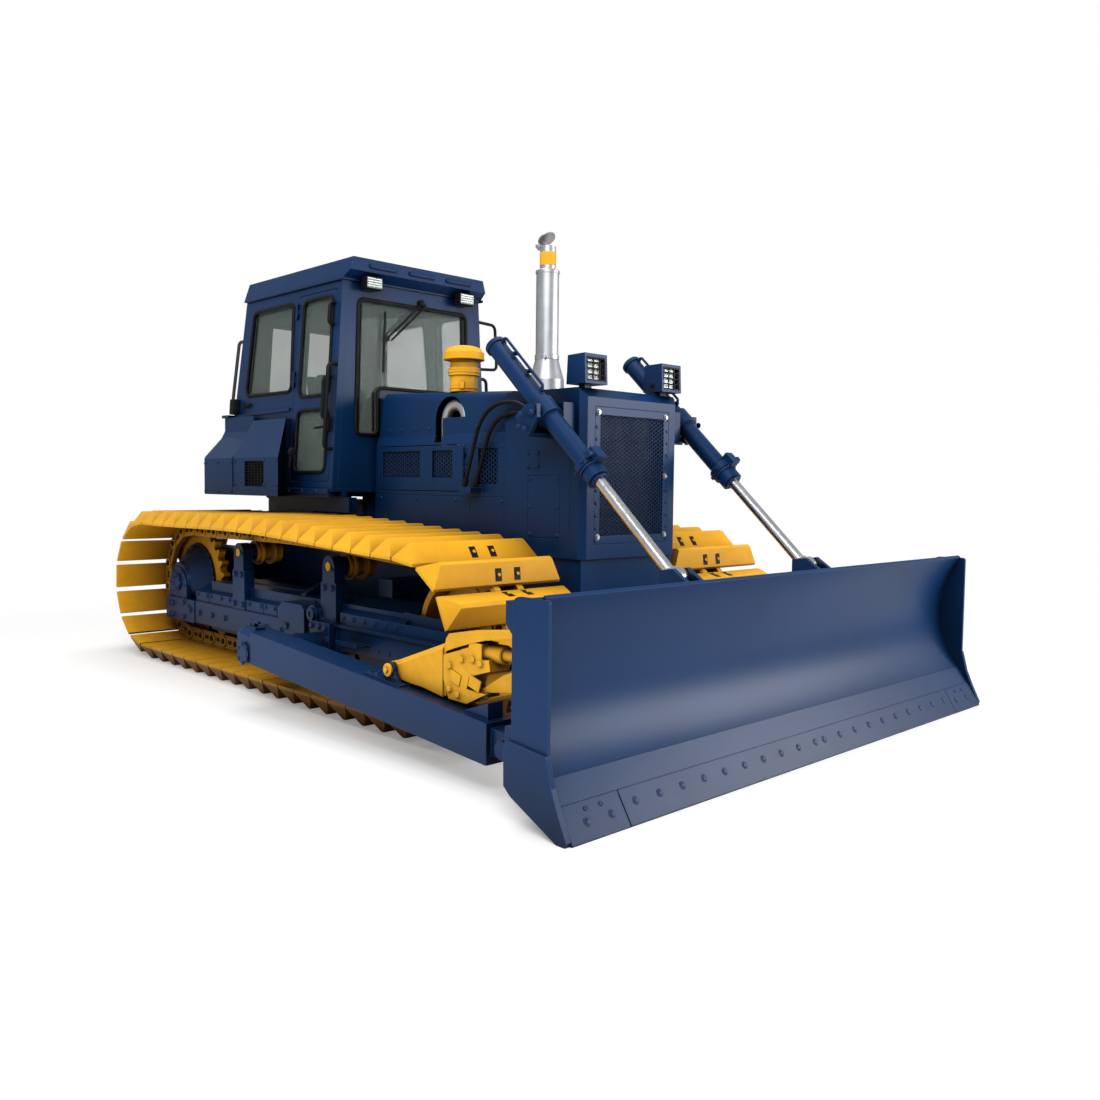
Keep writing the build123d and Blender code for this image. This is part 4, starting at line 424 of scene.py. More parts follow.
def turned_model(outline, sides=24):
    """A turned piece about local Z: each (radius, height) row of the outline is one ring."""
    bpy.ops.object.select_all(action="DESELECT")
    radius, height = outline[0]
    bpy.ops.mesh.primitive_circle_add(vertices=sides, radius=radius, location=(0, 0, height),
                                      fill_type="NGON")
    piece = bpy.context.object
    bpy.ops.object.transform_apply(location=True)
    bpy.ops.object.mode_set(mode="EDIT")
    bpy.ops.mesh.select_all(action="SELECT")
    for next_radius, next_height in outline[1:]:
        rise = (0, 0, next_height - height)
        bpy.ops.mesh.extrude_region_move(TRANSFORM_OT_translate={"value": rise})
        scale = next_radius / radius
        bpy.ops.transform.resize(value=(scale, scale, 1.0))
        radius, height = next_radius, next_height
    bpy.ops.mesh.select_all(action="SELECT")
    bpy.ops.mesh.normals_make_consistent(inside=False)
    bpy.ops.object.mode_set(mode="OBJECT")
    return piece


def hex_bolt(across, washer=True):
    """A hexagon head with chamfered corners on its washer, seated on local Z = 0."""
    radius = across / 2 / math.cos(math.pi / 6)
    head = turned_model([(radius, 0.0), (radius, across * 0.34), (radius * 0.84, across * 0.42)], 6)
    if not washer:
        return head
    plate = turned_model([(radius * 1.3, -0.001), (radius * 1.3, across * 0.07),
                          (radius * 1.24, across * 0.09)], 14)
    return joined([plate, head])


def bolts(name, rows, across, finish="navy", body="chassis", washer=True, mirror=True):
    """A set of equal bolts: each row is a point in millimetres and the way its head looks."""
    places = []
    for x, y, z, *out in rows:
        places.append(frame_at((x / 1000, y / 1000, z / 1000), out))
        if mirror:
            places.append(frame_at((x / 1000, -y / 1000, z / 1000), (out[0], -out[1], out[2])))
    return settle(copies(hex_bolt(across, washer), places), name, finish, body, 0.4)


def on_plate(y, spots):
    """Bolt rows on an upright plate this far to the right, looking outboard, at (x, z) spots."""
    return [(x, -y, z, 0, -1, 0) for x, z in spots]


def round_centre(x, z, radius, count, first=0.0, step=None):
    """(x, z) spots on a circle, from a first angle on; evenly spaced where no step is given."""
    step = step or 2 * math.pi / count
    return [(x + radius * math.cos(first + step * k), z + radius * math.sin(first + step * k))
            for k in range(count)]


def tube(points, radius, cyclic=False, corner=0.0, sides=3):
    """A round rod through these points as a mesh, its corners rounded by a bevel of the path."""
    bpy.ops.object.select_all(action="DESELECT")
    bpy.ops.mesh.primitive_plane_add(size=1.0, location=(0, 0, 0))
    piece = bpy.context.object
    mesh = bmesh.new()
    verts = [mesh.verts.new(p) for p in points]
    for a, b in zip(verts, verts[1:]):
        mesh.edges.new((a, b))
    if cyclic:
        mesh.edges.new((verts[-1], verts[0]))
    if corner:
        turns = verts if cyclic else verts[1:-1]
        bmesh.ops.bevel(mesh, geom=turns, offset=corner, segments=5, profile=0.5, affect="VERTICES")
    mesh.to_mesh(piece.data)
    mesh.free()
    pick(piece)
    bpy.ops.object.convert(target="CURVE")
    path = bpy.context.object
    path.data.bevel_depth = radius
    path.data.bevel_resolution = sides
    path.data.use_fill_caps = True
    bpy.ops.object.convert(target="MESH")
    return bpy.context.object


def perforated(width, height, pitch, hole, thick):
    """A sheet with hexagonal holes in staggered rows, centred on the local origin in XY."""
    bpy.ops.object.select_all(action="DESELECT")
    side = pitch / math.sqrt(3)
    bpy.ops.mesh.primitive_circle_add(vertices=6, radius=side, fill_type="NGON", location=(0, 0, 0))
    cell = bpy.context.object
    bpy.ops.object.mode_set(mode="EDIT")
    bpy.ops.mesh.select_all(action="SELECT")
    bpy.ops.mesh.inset(thickness=side * math.cos(math.pi / 6) - hole / 2)
    bpy.ops.mesh.delete(type="FACE")
    bpy.ops.object.mode_set(mode="OBJECT")
    # rows run along Y, every second column half a pitch up
    columns, rows = int(width / (side * 3)), int(height / pitch)
    left, low = -(columns - 0.5) * side * 1.5, -(rows - 0.5) * pitch / 2
    halves = []
    for turn in (0, 1):
        start = Matrix.Translation((left + turn * side * 1.5, low + turn * pitch / 2, 0))
        half = cell.copy()
        half.data = cell.data.copy()
        bpy.context.scene.collection.objects.link(half)
        half.matrix_world = start
        halves.append(half)
    bpy.data.objects.remove(cell)
    sheet = joined(halves)
    bpy.ops.object.transform_apply(location=True)
    for count, step in ((columns, (side * 3, 0, 0)), (rows, (0, pitch, 0))):
        repeat = sheet.modifiers.new("repeat", "ARRAY")
        repeat.use_relative_offset, repeat.use_constant_offset = False, True
        repeat.constant_offset_displace, repeat.count = step, count
        bpy.ops.object.modifier_apply(modifier=repeat.name)
    bpy.ops.object.mode_set(mode="EDIT")
    bpy.ops.mesh.select_all(action="SELECT")
    bpy.ops.mesh.remove_doubles(threshold=0.0002)
    bpy.ops.object.mode_set(mode="OBJECT")
    wall = sheet.modifiers.new("wall", "SOLIDIFY")
    wall.thickness, wall.offset = thick, -1.0
    bpy.ops.object.modifier_apply(modifier=wall.name)
    return sheet


def picture_frame(width, height, border, thick, bevel=0.0):
    """A flat rectangular frame in local XY, its opening width by height, standing on Z = 0."""
    outer = box_model((width + 2 * border, height + 2 * border, thick), 0.0, (0, 0, thick / 2))
    bpy.ops.object.mode_set(mode="EDIT")
    chosen_faces(lambda centre, normal: abs(normal.z) > 0.9)
    bpy.ops.mesh.inset(thickness=border)
    bpy.ops.mesh.bridge_edge_loops()
    bpy.ops.object.mode_set(mode="OBJECT")
    return bevelled(outer, bevel) if bevel else outer


def moved(piece, matrix):
    """Puts a piece that was shaped about the origin at a place."""
    piece.matrix_world = matrix @ piece.matrix_world
    pick(piece)
    bpy.ops.object.transform_apply(location=True, rotation=True, scale=True)
    return piece


def placed(piece, point, out, up=(0.0, 0.0, 1.0)):
    """Puts a piece that was shaped about the origin at a point, its local Z looking along out."""
    return moved(piece, frame_at(point, out, up))


# --- chain of the tracks, in metres, worked out again as for the frame's tracks ----------------

LINK_PITCH = 0.2032
LINK_COUNT = 48
SPROCKET_TEETH = 27
PIN_LINE = 0.165
IDLER_TREAD = 0.338
LINK_HALF_HEIGHT = 0.05
RUN_RAISE = 0.039
CHAIN_Y = 0.965
RAIL_FACE = 0.110
SHOE_TIP_HALF = 0.013
SHOE_BOLT_Y = 0.072
SHOE_SLOPE = math.atan2(0.097, 0.0826)


def chain_links():
    """Each link's middle and heading round the closed loop, as (x, z, heading), and each pin's
    (x, z). The rearmost shoe is brought to where the frame's track ends."""
    sprocket = LINK_PITCH / 2 / math.sin(2 * math.pi / SPROCKET_TEETH)
    idler = math.hypot(IDLER_TREAD + LINK_HALF_HEIGHT, LINK_PITCH / 2)
    length = LINK_COUNT * LINK_PITCH
    run = length / 2 - math.pi * (sprocket + idler) / 2

    def wrap(radius, angle):
        return angle / (2 * math.asin(LINK_PITCH / 2 / radius)) * LINK_PITCH

    for _ in range(6):
        fall = math.atan2(sprocket - idler, run)
        front, rear = wrap(idler, math.pi - 2 * fall), wrap(sprocket, math.pi + 2 * fall)
        run = (length - front - rear) / 2
    top = math.pi / 2 - 2 * fall
    pins = []
    for number in range(LINK_COUNT):
        along = number * LINK_PITCH
        if along < run:
            pins.append((along, PIN_LINE))
        elif along < run + front:
            turn = (along - run) / front * (math.pi - 2 * fall) - math.pi / 2
            pins.append((run + idler * math.cos(turn), PIN_LINE + idler + idler * math.sin(turn)))
        elif along < 2 * run + front:
            along -= run + front
            lift = RUN_RAISE * math.sin(math.pi * along / run) ** 2
            pins.append((run + idler * math.cos(top) - along * math.sin(top),
                         PIN_LINE + idler + idler * math.sin(top) + along * math.cos(top) + lift))
        else:
            turn = top + (along - 2 * run - front) / rear * (math.pi + 2 * fall)
            pins.append((sprocket * math.cos(turn),
                         PIN_LINE + sprocket + sprocket * math.sin(turn)))
    links = []
    for (x0, z0), (x1, z1) in zip(pins, pins[1:] + pins[:1]):
        links.append(((x0 + x1) / 2, (z0 + z1) / 2, math.atan2(z1 - z0, x1 - x0)))
    tip = min(x + PIN_LINE * math.sin(a) + way * SHOE_TIP_HALF * math.cos(a)
              for x, z, a in links for way in (-1, 1))
    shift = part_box("left_track")[0].x - tip
    return [(x + shift, z, a) for x, z, a in links], [(x + shift, z) for x, z in pins]


# --- tracks -----------------------------------------------------------------------------------


def link_frame(x, z, heading, out, y):
    """Matrix on a link: local Z outward from the loop, local X along it, at a distance out."""
    along = Vector((math.cos(heading), 0.0, math.sin(heading)))
    away = Vector((math.sin(heading), 0.0, -math.cos(heading)))
    turn = Matrix((along, away.cross(along), away)).transposed().to_4x4()
    return Matrix.Translation(Vector((x, y, z)) + away * out) @ turn


class DOZER_OT_tracks(bpy.types.Operator):
    """Fits the shoe bolts in their slots and the link bosses, pins and windows of both chains, and
    puts thin black plates in the slots and windows as painted shade
    """

    bl_idname = "dozer.tracks"
    bl_label = "Fit the track bolts and pins"

    def execute(self, context):
        links, pins = chain_links()
        slots, heads, pin_ends, windows = [], [], [], []
        for side in (-1, 1):
            for (x, z, heading), (px, pz) in zip(links, pins):
                for y in (CHAIN_Y - SHOE_BOLT_Y, CHAIN_Y + SHOE_BOLT_Y):
                    seat = link_frame(x, z, heading, LINK_HALF_HEIGHT, side * y)
                    for way in (-1, 1):
                        face = (Matrix.Translation((way * 0.0605, 0, 0.0592))
                                @ Matrix.Rotation(way * SHOE_SLOPE, 4, "Y"))
                        slots.append(seat @ face)
                        heads.append(seat @ face @ Matrix.Translation((0, 0, 0.002)))
                for face_y, out in ((CHAIN_Y + RAIL_FACE, side), (CHAIN_Y - RAIL_FACE, -side)):
                    pin_ends.append(frame_at((px, side * face_y, pz), (0, out, 0)))
                    along = (math.cos(heading), 0.0, math.sin(heading))
                    windows.append(frame_at((x, side * face_y, z), (0, out, 0), along))
        # painted shade: a thin black plate stands for the dark inside of each slot in the shoes
        settle(copies(box_model((0.074, 0.048, 0.003), 0.0012), slots), "shoe_slot_shade", "iron")
        settle(copies(hex_bolt(0.020, False), heads), "shoe_bolts", "yellow", smooth=0.4)
        boss = turned_model([(0.046, -0.002), (0.046, 0.006), (0.042, 0.009), (0.028, 0.009),
                             (0.026, 0.006), (0.024, 0.006)], 16)
        settle(copies(boss, pin_ends), "link_bosses", "yellow", smooth=0.5)
        end = turned_model([(0.0225, 0.004), (0.0225, 0.013), (0.020, 0.015), (0.010, 0.015),
                            (0.008, 0.011)], 14)
        settle(copies(end, pin_ends), "link_pins", "iron", smooth=0.5)
        # painted shade: a thin black plate stands for the dark inside of each link's window
        window = box_model((0.030, 0.060, 0.003), 0.0012)
        settle(copies(window, windows), "link_window_shade", "iron")
        return {"FINISHED"}


# --- undercarriage ----------------------------------------------------------------------------

# the two posts that carry the upper rollers, in millimetres
POST_X = (-1335, -66)
# angle between the bolts of a six-bolt cap
SIXTH_TURN = 1.05


class DOZER_OT_undercarriage(bpy.types.Operator):
    """Fits the bolts of the track frames, carriers, final drives and push arms"""

    bl_idname = "dozer.undercarriage"
    bl_label = "Fit the undercarriage bolts"

    def execute(self, context):
        sizes = context.scene.dozer_sizes
        rows = on_plate(1198, ((-2515, 424), (-2515, 331), (-2460, 424), (-2460, 331), (-2258, 447),
                               (-2168, 416), (-2135, 399), (-2258, 330)))
        rows += on_plate(1242, ((-172, 330), (-172, 410), (-172, 490), (-84, 490), (-3, 490),
                                (14, 330), (14, 410)))
        rows += on_plate(1180, [(x + dx, z) for x in POST_X
                                for dx, z in ((-66, 520), (62, 520), (-52, 745), (48, 745))])
        rows += on_plate(1190, [(x, 388) for x in (-1980, -1760, -1540, -1120, -900, -680)])
        rows += on_plate(1190, [(x, z) for x in (-595, -520) for z in (330, 430)])
        bolts("girder_bolts", rows, sizes.frame_bolt)
        rows = on_plate(1172, [(x, 532) for x in (-2050, -1885, -1815, -1640, -1500, -1180,
                                                  -1005, -935, -803, -733, -680)])
        rows += on_plate(1175, [(x, 560) for x in (110, 230, 350, 470, 590, 710)])
        rows += on_plate(1178, [(x, 388) for x in (-440, 60, 520, 640)])
        bolts("cover_bolts", rows, 0.026)
        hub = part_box("sprockets")
        x, z = (hub[0].x + hub[1].x) * 500, (hub[0].z + hub[1].z) * 500
        bolts("final_drive_studs", on_plate(1013, round_centre(x, z, 299, 26)), 0.020, "iron",
              washer=False)
        cap = on_plate(1196, round_centre(x, z, 54, 6, 0.4, SIXTH_TURN))
        cap += on_plate(1182, [(x + way * dx, z - 42 + dz) for way in (-1, 1)
                               for dx, dz in ((125, 20), (130, -90), (72, 128))])
        bolts("bearing_bolts", cap, 0.024)
        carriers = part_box("track_rollers")[1].z * 1000 - 99
        rows = on_plate(1181, [(x + dx, carriers - drop)
                               for x, drop in zip(POST_X, (4, 40)) for dx in (-46, 46)])
        bolts("post_cap_bolts", rows, 0.020)
        rows = on_plate(1786, round_centre(-100, 365, 62, 6, 0.6, SIXTH_TURN))
        bolts("trunnion_bolts", rows, 0.018, body="blade")
        pad = [(x, y, z, 0.07, 0, 1) for x, z in ((1240, 430), (1300, 427)) for y in (-1635, -1725)]
        bolts("arm_pad_bolts", pad, 0.026, body="blade")
        # keeper plates over the ends of the brace pins
        keepers = [frame_at((1.412, side * 1.7292, 0.468), (0, side, 0)) for side in (-1, 1)]
        keeper = turned_model([(0.036, 0.0), (0.036, 0.010), (0.033, 0.013), (0.014, 0.013),
                               (0.014, 0.024), (0.011, 0.026)], 20)
        settle(copies(keeper, keepers), "brace_pin_keepers", "yellow", "blade")
        bolts("brace_bolts", on_plate(1701, ((1895, 556), (1895, 440), (1990, 600), (1960, 420),
                                             (2075, 610), (2130, 596))), 0.030, "yellow", "blade")
        pads = [frame_at((x, side * 1.701, z), (0, side, 0), (0.3, 0, 1)) for side in (-1, 1)
                for x, z in ((1.935, 0.500), (2.085, 0.492))]
        pad = box_model((0.085, 0.060, 0.012), 0.004)
        settle(copies(pad, pads), "brace_pads", "yellow", "blade")
        return {"FINISHED"}


# --- blade ------------------------------------------------------------------------------------

EDGE_TOP = Vector((2.8574, 0.0, 0.230))
EDGE_FOOT = Vector((3.0, 0.0, 0.0))
EDGE_ALONG = (EDGE_FOOT - EDGE_TOP).normalized()
EDGE_OUT = Vector((-EDGE_ALONG.z, 0.0, EDGE_ALONG.x))
BLADE_INNER_HALF = 1.957
STRIP_HIGH = 0.166
END_BIT_HALF = 0.178


def on_edge(up, y, proud=0.0):
    """Point on the cutting edge's face, this far up from the ground along it."""
    return EDGE_FOOT - EDGE_ALONG * up + EDGE_OUT * proud + Vector((0, y, 0))


class DOZER_OT_blade(bpy.types.Operator):
    """Fits the wear strip, end bits and plough bolts along the blade"""

    bl_idname = "dozer.blade"
    bl_label = "Fit the blade's edge"

    def execute(self, context):
        sizes = context.scene.dozer_sizes
        turn = frame_at((0, 0, 0), EDGE_OUT, -EDGE_ALONG)
        full, bit = 2 * BLADE_INNER_HALF, 2 * END_BIT_HALF
        bit_y = BLADE_INNER_HALF - END_BIT_HALF
        # name, lower and upper height along the face, thickness, width, middle's y
        for name, low, high, thick, width, y in (
                ("edge_apron", STRIP_HIGH, 0.288, 0.002, full, 0.0),
                ("wear_strip", 0.003, STRIP_HIGH, 0.006, full - 0.72, 0.0),
                ("left_end_bit", 0.003, STRIP_HIGH, 0.006, bit, bit_y),
                ("right_end_bit", 0.003, STRIP_HIGH, 0.006, bit, -bit_y)):
            plate = box_model((width - 0.002, high - low, thick), 0.0016)
            middle = on_edge((low + high) / 2, y, thick / 2)
            settle(moved(plate, Matrix.Translation(middle) @ turn), name, "navy", "blade")
        spots = [(0.100, -1.515 + 0.163 * k) for k in range(9)]
        spots += [(0.100, -0.045), (0.078, -1.832), (0.078, -1.680)]
        head = turned_model([(1.0, 0.0), (1.0, 0.05), (0.94, 0.12), (0.74, 0.12), (0.70, 0.03),
                             (0.66, 0.03), (0.62, 0.20), (0.30, 0.26)], 18)
        head.scale = (sizes.edge_bolt / 2,) * 3
        pick(head)
        bpy.ops.object.transform_apply(scale=True)
        small = turned_model([(0.011, 0.0), (0.011, 0.003), (0.009, 0.004), (0.006, 0.002)], 14)
        for model, name, spots in ((head, "plough_bolts", spots),
                                   (small, "end_bit_dowels", [(0.132, -1.815), (0.132, -1.722)])):
            places = [Matrix.Translation(on_edge(up, side * y, 0.006)) @ turn
                      for up, y in spots for side in (-1, 1)]
            settle(copies(model, places), name, "navy", "blade", 0.5)
        return {"FINISHED"}


# --- lift cylinders ---------------------------------------------------------------------------

YOKE = Vector((1.459, -0.640, 1.885))
ROD_EYE = Vector((2.449, -0.640, 0.965))
CYLINDER_LINE = (ROD_EYE - YOKE).normalized()
CYLINDER_UP = Vector((-CYLINDER_LINE.z, 0, CYLINDER_LINE.x))
# distances along the cylinder from its yoke
GLAND_AT, PORT_AT, WIPER_AT, CAP_AT = 0.455, 0.478, 0.588, -0.634


def on_cylinder(side, along, up=0.0, out=0.0):
    """Point by a cylinder's axis: along it from the yoke, square to it upward, and outboard."""
    point = YOKE + CYLINDER_LINE * along + CYLINDER_UP * up + Vector((0, -out, 0))
    return Vector((point.x, point.y * -side, point.z))


class DOZER_OT_cylinders(bpy.types.Operator):
    """Fits the glands, port blocks, clips, rod wipers and yoke bolts of both lift cylinders"""

    bl_idname = "dozer.cylinders"
    bl_label = "Fit the cylinder glands"

    def execute(self, context):
        for side, word in SIDES:
            body = word + "_cylinder"
            axis = frame_at(on_cylinder(side, GLAND_AT), CYLINDER_LINE, CYLINDER_UP)
            gland = turned_model([(0.0605, 0.0), (0.079, 0.0), (0.082, 0.004), (0.082, 0.040),
                                  (0.079, 0.044), (0.071, 0.044), (0.071, 0.052), (0.080, 0.052),
                                  (0.080, 0.062), (0.077, 0.065), (0.0605, 0.065)], 28)
            gland = moved(gland, axis)
            block = placed(box_model((0.070, 0.052, 0.090), 0.005),
                           on_cylinder(side, PORT_AT, 0.092), CYLINDER_LINE, CYLINDER_UP)
            port = placed(turned_model([(0.018, 0.0), (0.018, 0.030), (0.022, 0.030),
                                        (0.022, 0.048), (0.014, 0.050)], 12),
                         on_cylinder(side, PORT_AT, 0.092, 0.03), (0, side, 0))
            settle(joined([gland, block, port]), word + "_gland", "navy", body)
            cap = placed(turned_model([(0.061, 0.0), (0.067, 0.0), (0.069, 0.003), (0.069, 0.026),
                                      (0.066, 0.030), (0.060, 0.030)], 28),
                        on_cylinder(side, CAP_AT), CYLINDER_LINE, CYLINDER_UP)
            clips = [placed(box_model((0.060, 0.016, 0.022), 0.003),
                            on_cylinder(side, along, 0.078), CYLINDER_LINE, CYLINDER_UP)
                     for along in (-0.45, -0.28)]
            settle(joined([cap] + clips), word + "_barrel_fittings", "navy", body)
            bleed = hex_bolt(0.022, False)
            spots = []
            for turn in (1.2, 2.4, 3.6, 4.9):
                up, out = math.cos(turn), math.sin(turn)
                spots.append(frame_at(on_cylinder(side, GLAND_AT + 0.022, 0.082 * up, 0.082 * out),
                                      CYLINDER_UP * up + Vector((0, side * out, 0)),
                                      CYLINDER_LINE))
            settle(copies(bleed, spots), word + "_gland_bolts", "navy", body)
            # wiper ring where the rod leaves the barrel
            ring = placed(turned_model([(0.0345, 0.0), (0.052, 0.0), (0.054, 0.003), (0.054, 0.010),
                                       (0.050, 0.014), (0.0345, 0.014)], 28),
                         on_cylinder(side, WIPER_AT), CYLINDER_LINE, CYLINDER_UP)
            settle(ring, word + "_rod_wiper", "navy", body)
        bolts("yoke_bolts", on_plate(790, ((1395, 1860), (1490, 1870), (1380, 1790), (1430, 1775))),
              0.026)
        return {"FINISHED"}


# --- radiator guard and hood ------------------------------------------------------------------

# rear and front end of each vent in an engine door
DOOR_VENT_ENDS = ((-0.505, -0.042), (0.097, 0.323))
DOOR_VENT_HIGH = 0.205
DOOR_VENT_Z = 1.587
# pitch and width of the holes, and the sheet's thickness
VENT_HOLES = (0.030, 0.022, 0.003)
LOUVRE_X = -1.535


class DOZER_OT_grilles(bpy.types.Operator):
    """Makes the perforated radiator grille and the vents in hood, engine doors and side boxes"""

    bl_idname = "dozer.grilles"
    bl_label = "Make the grilles and vents"

    def execute(self, context):
        pitch = context.scene.dozer_sizes.hole_pitch
        low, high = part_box("radiator_grille")
        middle = (low + high) / 2
        width, height = high.y - low.y, high.z - low.z
        front = frame_at((high.x, middle.y, middle.z), (1, 0, 0))
        sheet = perforated(width - 0.090, height - 0.090, pitch, pitch * 0.80, 0.004)
        across, up = sheet.dimensions.x, sheet.dimensions.y
        border = picture_frame(across - 0.010, up - 0.010, (width - across) / 2 + 0.004, 0.010,
                               0.002)
        border.scale.y = (height - 0.002) / border.dimensions.y
        pick(border)
        bpy.ops.object.transform_apply(scale=True)
        border = moved(border, Matrix.Translation((0, 0, -0.010)))
        sheet = moved(sheet, Matrix.Translation((0, 0, -0.002)))
        grille = settle(moved(joined([border, sheet]), front), "perforated_grille", "navy",
                        smooth=0)
        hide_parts("radiator_grille")
        bolts("grille_side_bolts", [(1585, -334, 1112 + 77 * k, 1, 0, 0) for k in range(11)], 0.016)
        bolts("grille_corner_bolts", [(1586, -318, z, 1, 0, 0) for z in (1135, 1515, 1895)], 0.026,
              "bolt")
        bars = [box_model((0.012, width - 0.06, 0.008), 0.002, (high.x - 0.014, 0, z))
                for z in (1.28, 1.51, 1.74)]
        settle(joined(bars), "grille_stiffeners", "iron")
        for side, word in SIDES:
            door, vents, vent_shade_plates = word + "_engine_door", [], []
            for x0, x1 in DOOR_VENT_ENDS:
                middle, length = (x0 + x1) / 2, x1 - x0 + 0.02
                vents.append(placed(perforated(length, DOOR_VENT_HIGH, *VENT_HOLES),
                                    (middle, side * 0.428, DOOR_VENT_Z), (0, side, 0)))
                # painted shade: a black plate behind each vent stands for the dark engine bay seen
                # through its holes
                vent_shade_plates.append(box_model((length, 0.004, DOOR_VENT_HIGH), 0.0015,
                                         (middle, side * 0.419, DOOR_VENT_Z)))
            settle(joined(vents), word + "_door_vents", "navy", door, smooth=0)
            settle(joined(vent_shade_plates), word + "_door_vent_shade", "iron", door)
            sheet = perforated(0.215, 0.250, *VENT_HOLES)
            settle(placed(sheet, (0.700, side * 0.432, 1.570), (0, side, 0)),
                   word + "_hood_vent", "navy", smooth=0)
            # louvred grid in the side box
            slats = [box_model((0.006, 0.300, 0.020), 0.0015) for _ in range(9)]
            for k, slat in enumerate(slats):
                placed(slat, (LOUVRE_X, side * 0.925, 1.424 + 0.022 * k), (0, side, -0.7),
                       (1, 0, 0))
            posts = [box_model((0.006, 0.010, 0.192), 0.001, (LOUVRE_X + dx, side * 0.932, 1.512))
                     for dx in (-0.100, -0.050, 0.0, 0.050, 0.100)]
            settle(joined(slats + posts), word + "_box_louvres", "iron")
        # outline bolts of the bolted panels
        rows = on_plate(450, [(x, z) for x in (1124, 1368) for z in (1140, 1314, 1488)])
        rows += on_plate(455, [(x, z) for x in (1106, 1190) for z in (1566, 1650)])
        bolts("guard_panel_bolts", rows, 0.018)
        rows = on_plate(440, ((-520, 1050), (-300, 1050), (-80, 1050), (140, 1050), (360, 1050),
                              (-520, 1340), (-80, 1340), (360, 1340), (560, 1050), (840, 1050),
                              (840, 1340), (585, 1700), (840, 1700)))
        bolts("hood_side_bolts", rows, 0.018)
        rows = on_plate(421, [(x, 1838) for x in (-440, -280, -120, 40, 560, 720, 850)])
        bolts("hood_top_bolts", rows, 0.018)
        return {"FINISHED"}


# --- lamps ------------------------------------------------------------------------------------

HOOD_LAMP = Vector((1.598, 0.3575, 2.149))
CAB_LAMP = Vector((-0.636, 0.445, 2.942))


class DOZER_OT_lamps(bpy.types.Operator):
    """Fits lining, reflector and wire guard to the hood lamps, and heads to the cab lamps"""

    bl_idname = "dozer.lamps"
    bl_label = "Fit the lamps"

    def execute(self, context):
        wire = context.scene.dozer_sizes.guard_bar
        for side, word in SIDES:
            front, y, z = HOOD_LAMP.x, side * HOOD_LAMP.y, HOOD_LAMP.z
            lining = picture_frame(0.146, 0.124, 0.008, 0.040, 0.001)
            settle(placed(lining, (front - 0.043, y, z), (1, 0, 0)), word + "_lamp_lining", "iron")
            dish = placed(box_model((0.150, 0.128, 0.010), 0.004), (front - 0.036, y, z), (1, 0, 0))
            settle(dish, word + "_lamp_reflector", "reflector")
            upright, level = front - 0.004, front - 0.002
            grid = [tube([(upright, y + dy, z - 0.069), (upright, y + dy, z + 0.069)], wire)
                    for dy in (-0.027, 0.027)]
            grid += [tube([(level, y - 0.082, z + dz), (level, y + 0.082, z + dz)], wire)
                     for dz in (-0.036, 0.0, 0.036)]
            settle(joined(grid), word + "_lamp_guard", "iron", smooth=0.7)
            bolt = [(1515, 260 * side, 2100, 0, -side, 0)]
            bolts(word + "_lamp_bolt", bolt, 0.022, "iron", mirror=False)
            # cab lamp: a rectangular head under the roof's front edge
            front, y, z = CAB_LAMP.x, side * CAB_LAMP.y, CAB_LAMP.z
            shell = placed(box_model((0.150, 0.094, 0.070), 0.008), (front, y, z), (1, 0, 0))
            settle(shell, word + "_cab_lamp_shell", "iron")
            face = placed(box_model((0.134, 0.078, 0.012), 0.004), (front + 0.032, y, z), (1, 0, 0))
            settle(face, word + "_cab_lamp_glass", "reflector")
        return {"FINISHED"}


# --- cab --------------------------------------------------------------------------------------

CAB_SILL_Y = 0.752
CAB_SILL_Z = 1.410
# how far a side window's normal and the rear window's look up
SIDE_LEAN = 0.0624
WALL_LEAN = 0.0626
REAR_LEAN = 0.158
WIPER_X = -0.694
# pull, latch lever and upper grip of a door: (x, z, distance off the wall) points, radius, corner
DOOR_RODS = (
    (((-0.800, 2.240, 0.0), (-0.800, 2.240, 0.062), (-0.800, 1.930, 0.062), (-0.800, 1.930, 0.0)),
     0.014, 0.032),
    (((-0.792, 1.880, 0.024), (-0.830, 1.860, 0.052), (-0.905, 1.858, 0.055)), 0.009, 0.02),
    (((-0.795, 2.790, 0.0), (-0.795, 2.790, 0.046), (-0.795, 2.630, 0.046), (-0.795, 2.630, 0.0)),
     0.013, 0.026),
)
# grab rail and window hook of the wall, and the tall rail that only the left side has
WALL_RODS = (
    (((-0.735, 2.330, -0.002), (-0.735, 2.330, 0.070), (-0.735, 1.700, 0.070),
      (-0.735, 1.700, -0.002)), 0.014, 0.035),
    (((-2.150, 2.092, 0.012), (-2.090, 2.070, 0.032), (-2.010, 2.092, 0.012)), 0.010, 0.02),
)
LEFT_RODS = (
    (((-0.730, 2.800, -0.002), (-0.730, 2.790, 0.190), (-0.730, 2.420, 0.190),
      (-0.730, 2.410, -0.002)), 0.013, 0.04),
)


def pane_loops(node, out):
    """Outline of each pane's face that looks along out: closed rows of points."""
    mesh = bmesh.new()
    mesh.from_mesh(NODES[node].data)
    bmesh.ops.remove_doubles(mesh, verts=mesh.verts, dist=1e-5)
    mesh.normal_update()
    way = Vector(out).normalized()
    faces = {face for face in mesh.faces if face.normal.dot(way) > 0.95}
    edges = {e for f in faces for e in f.edges if sum(g in faces for g in e.link_faces) == 1}
    loops = []
    while edges:
        edge = edges.pop()
        first, last = edge.verts
        row = [first, last]
        while last != first:
            edge = next(e for e in last.link_edges if e in edges)
            edges.discard(edge)
            last = edge.other_vert(last)
            row.append(last)
        loops.append([v.co.copy() for v in row[:-1]])
    mesh.free()
    return loops


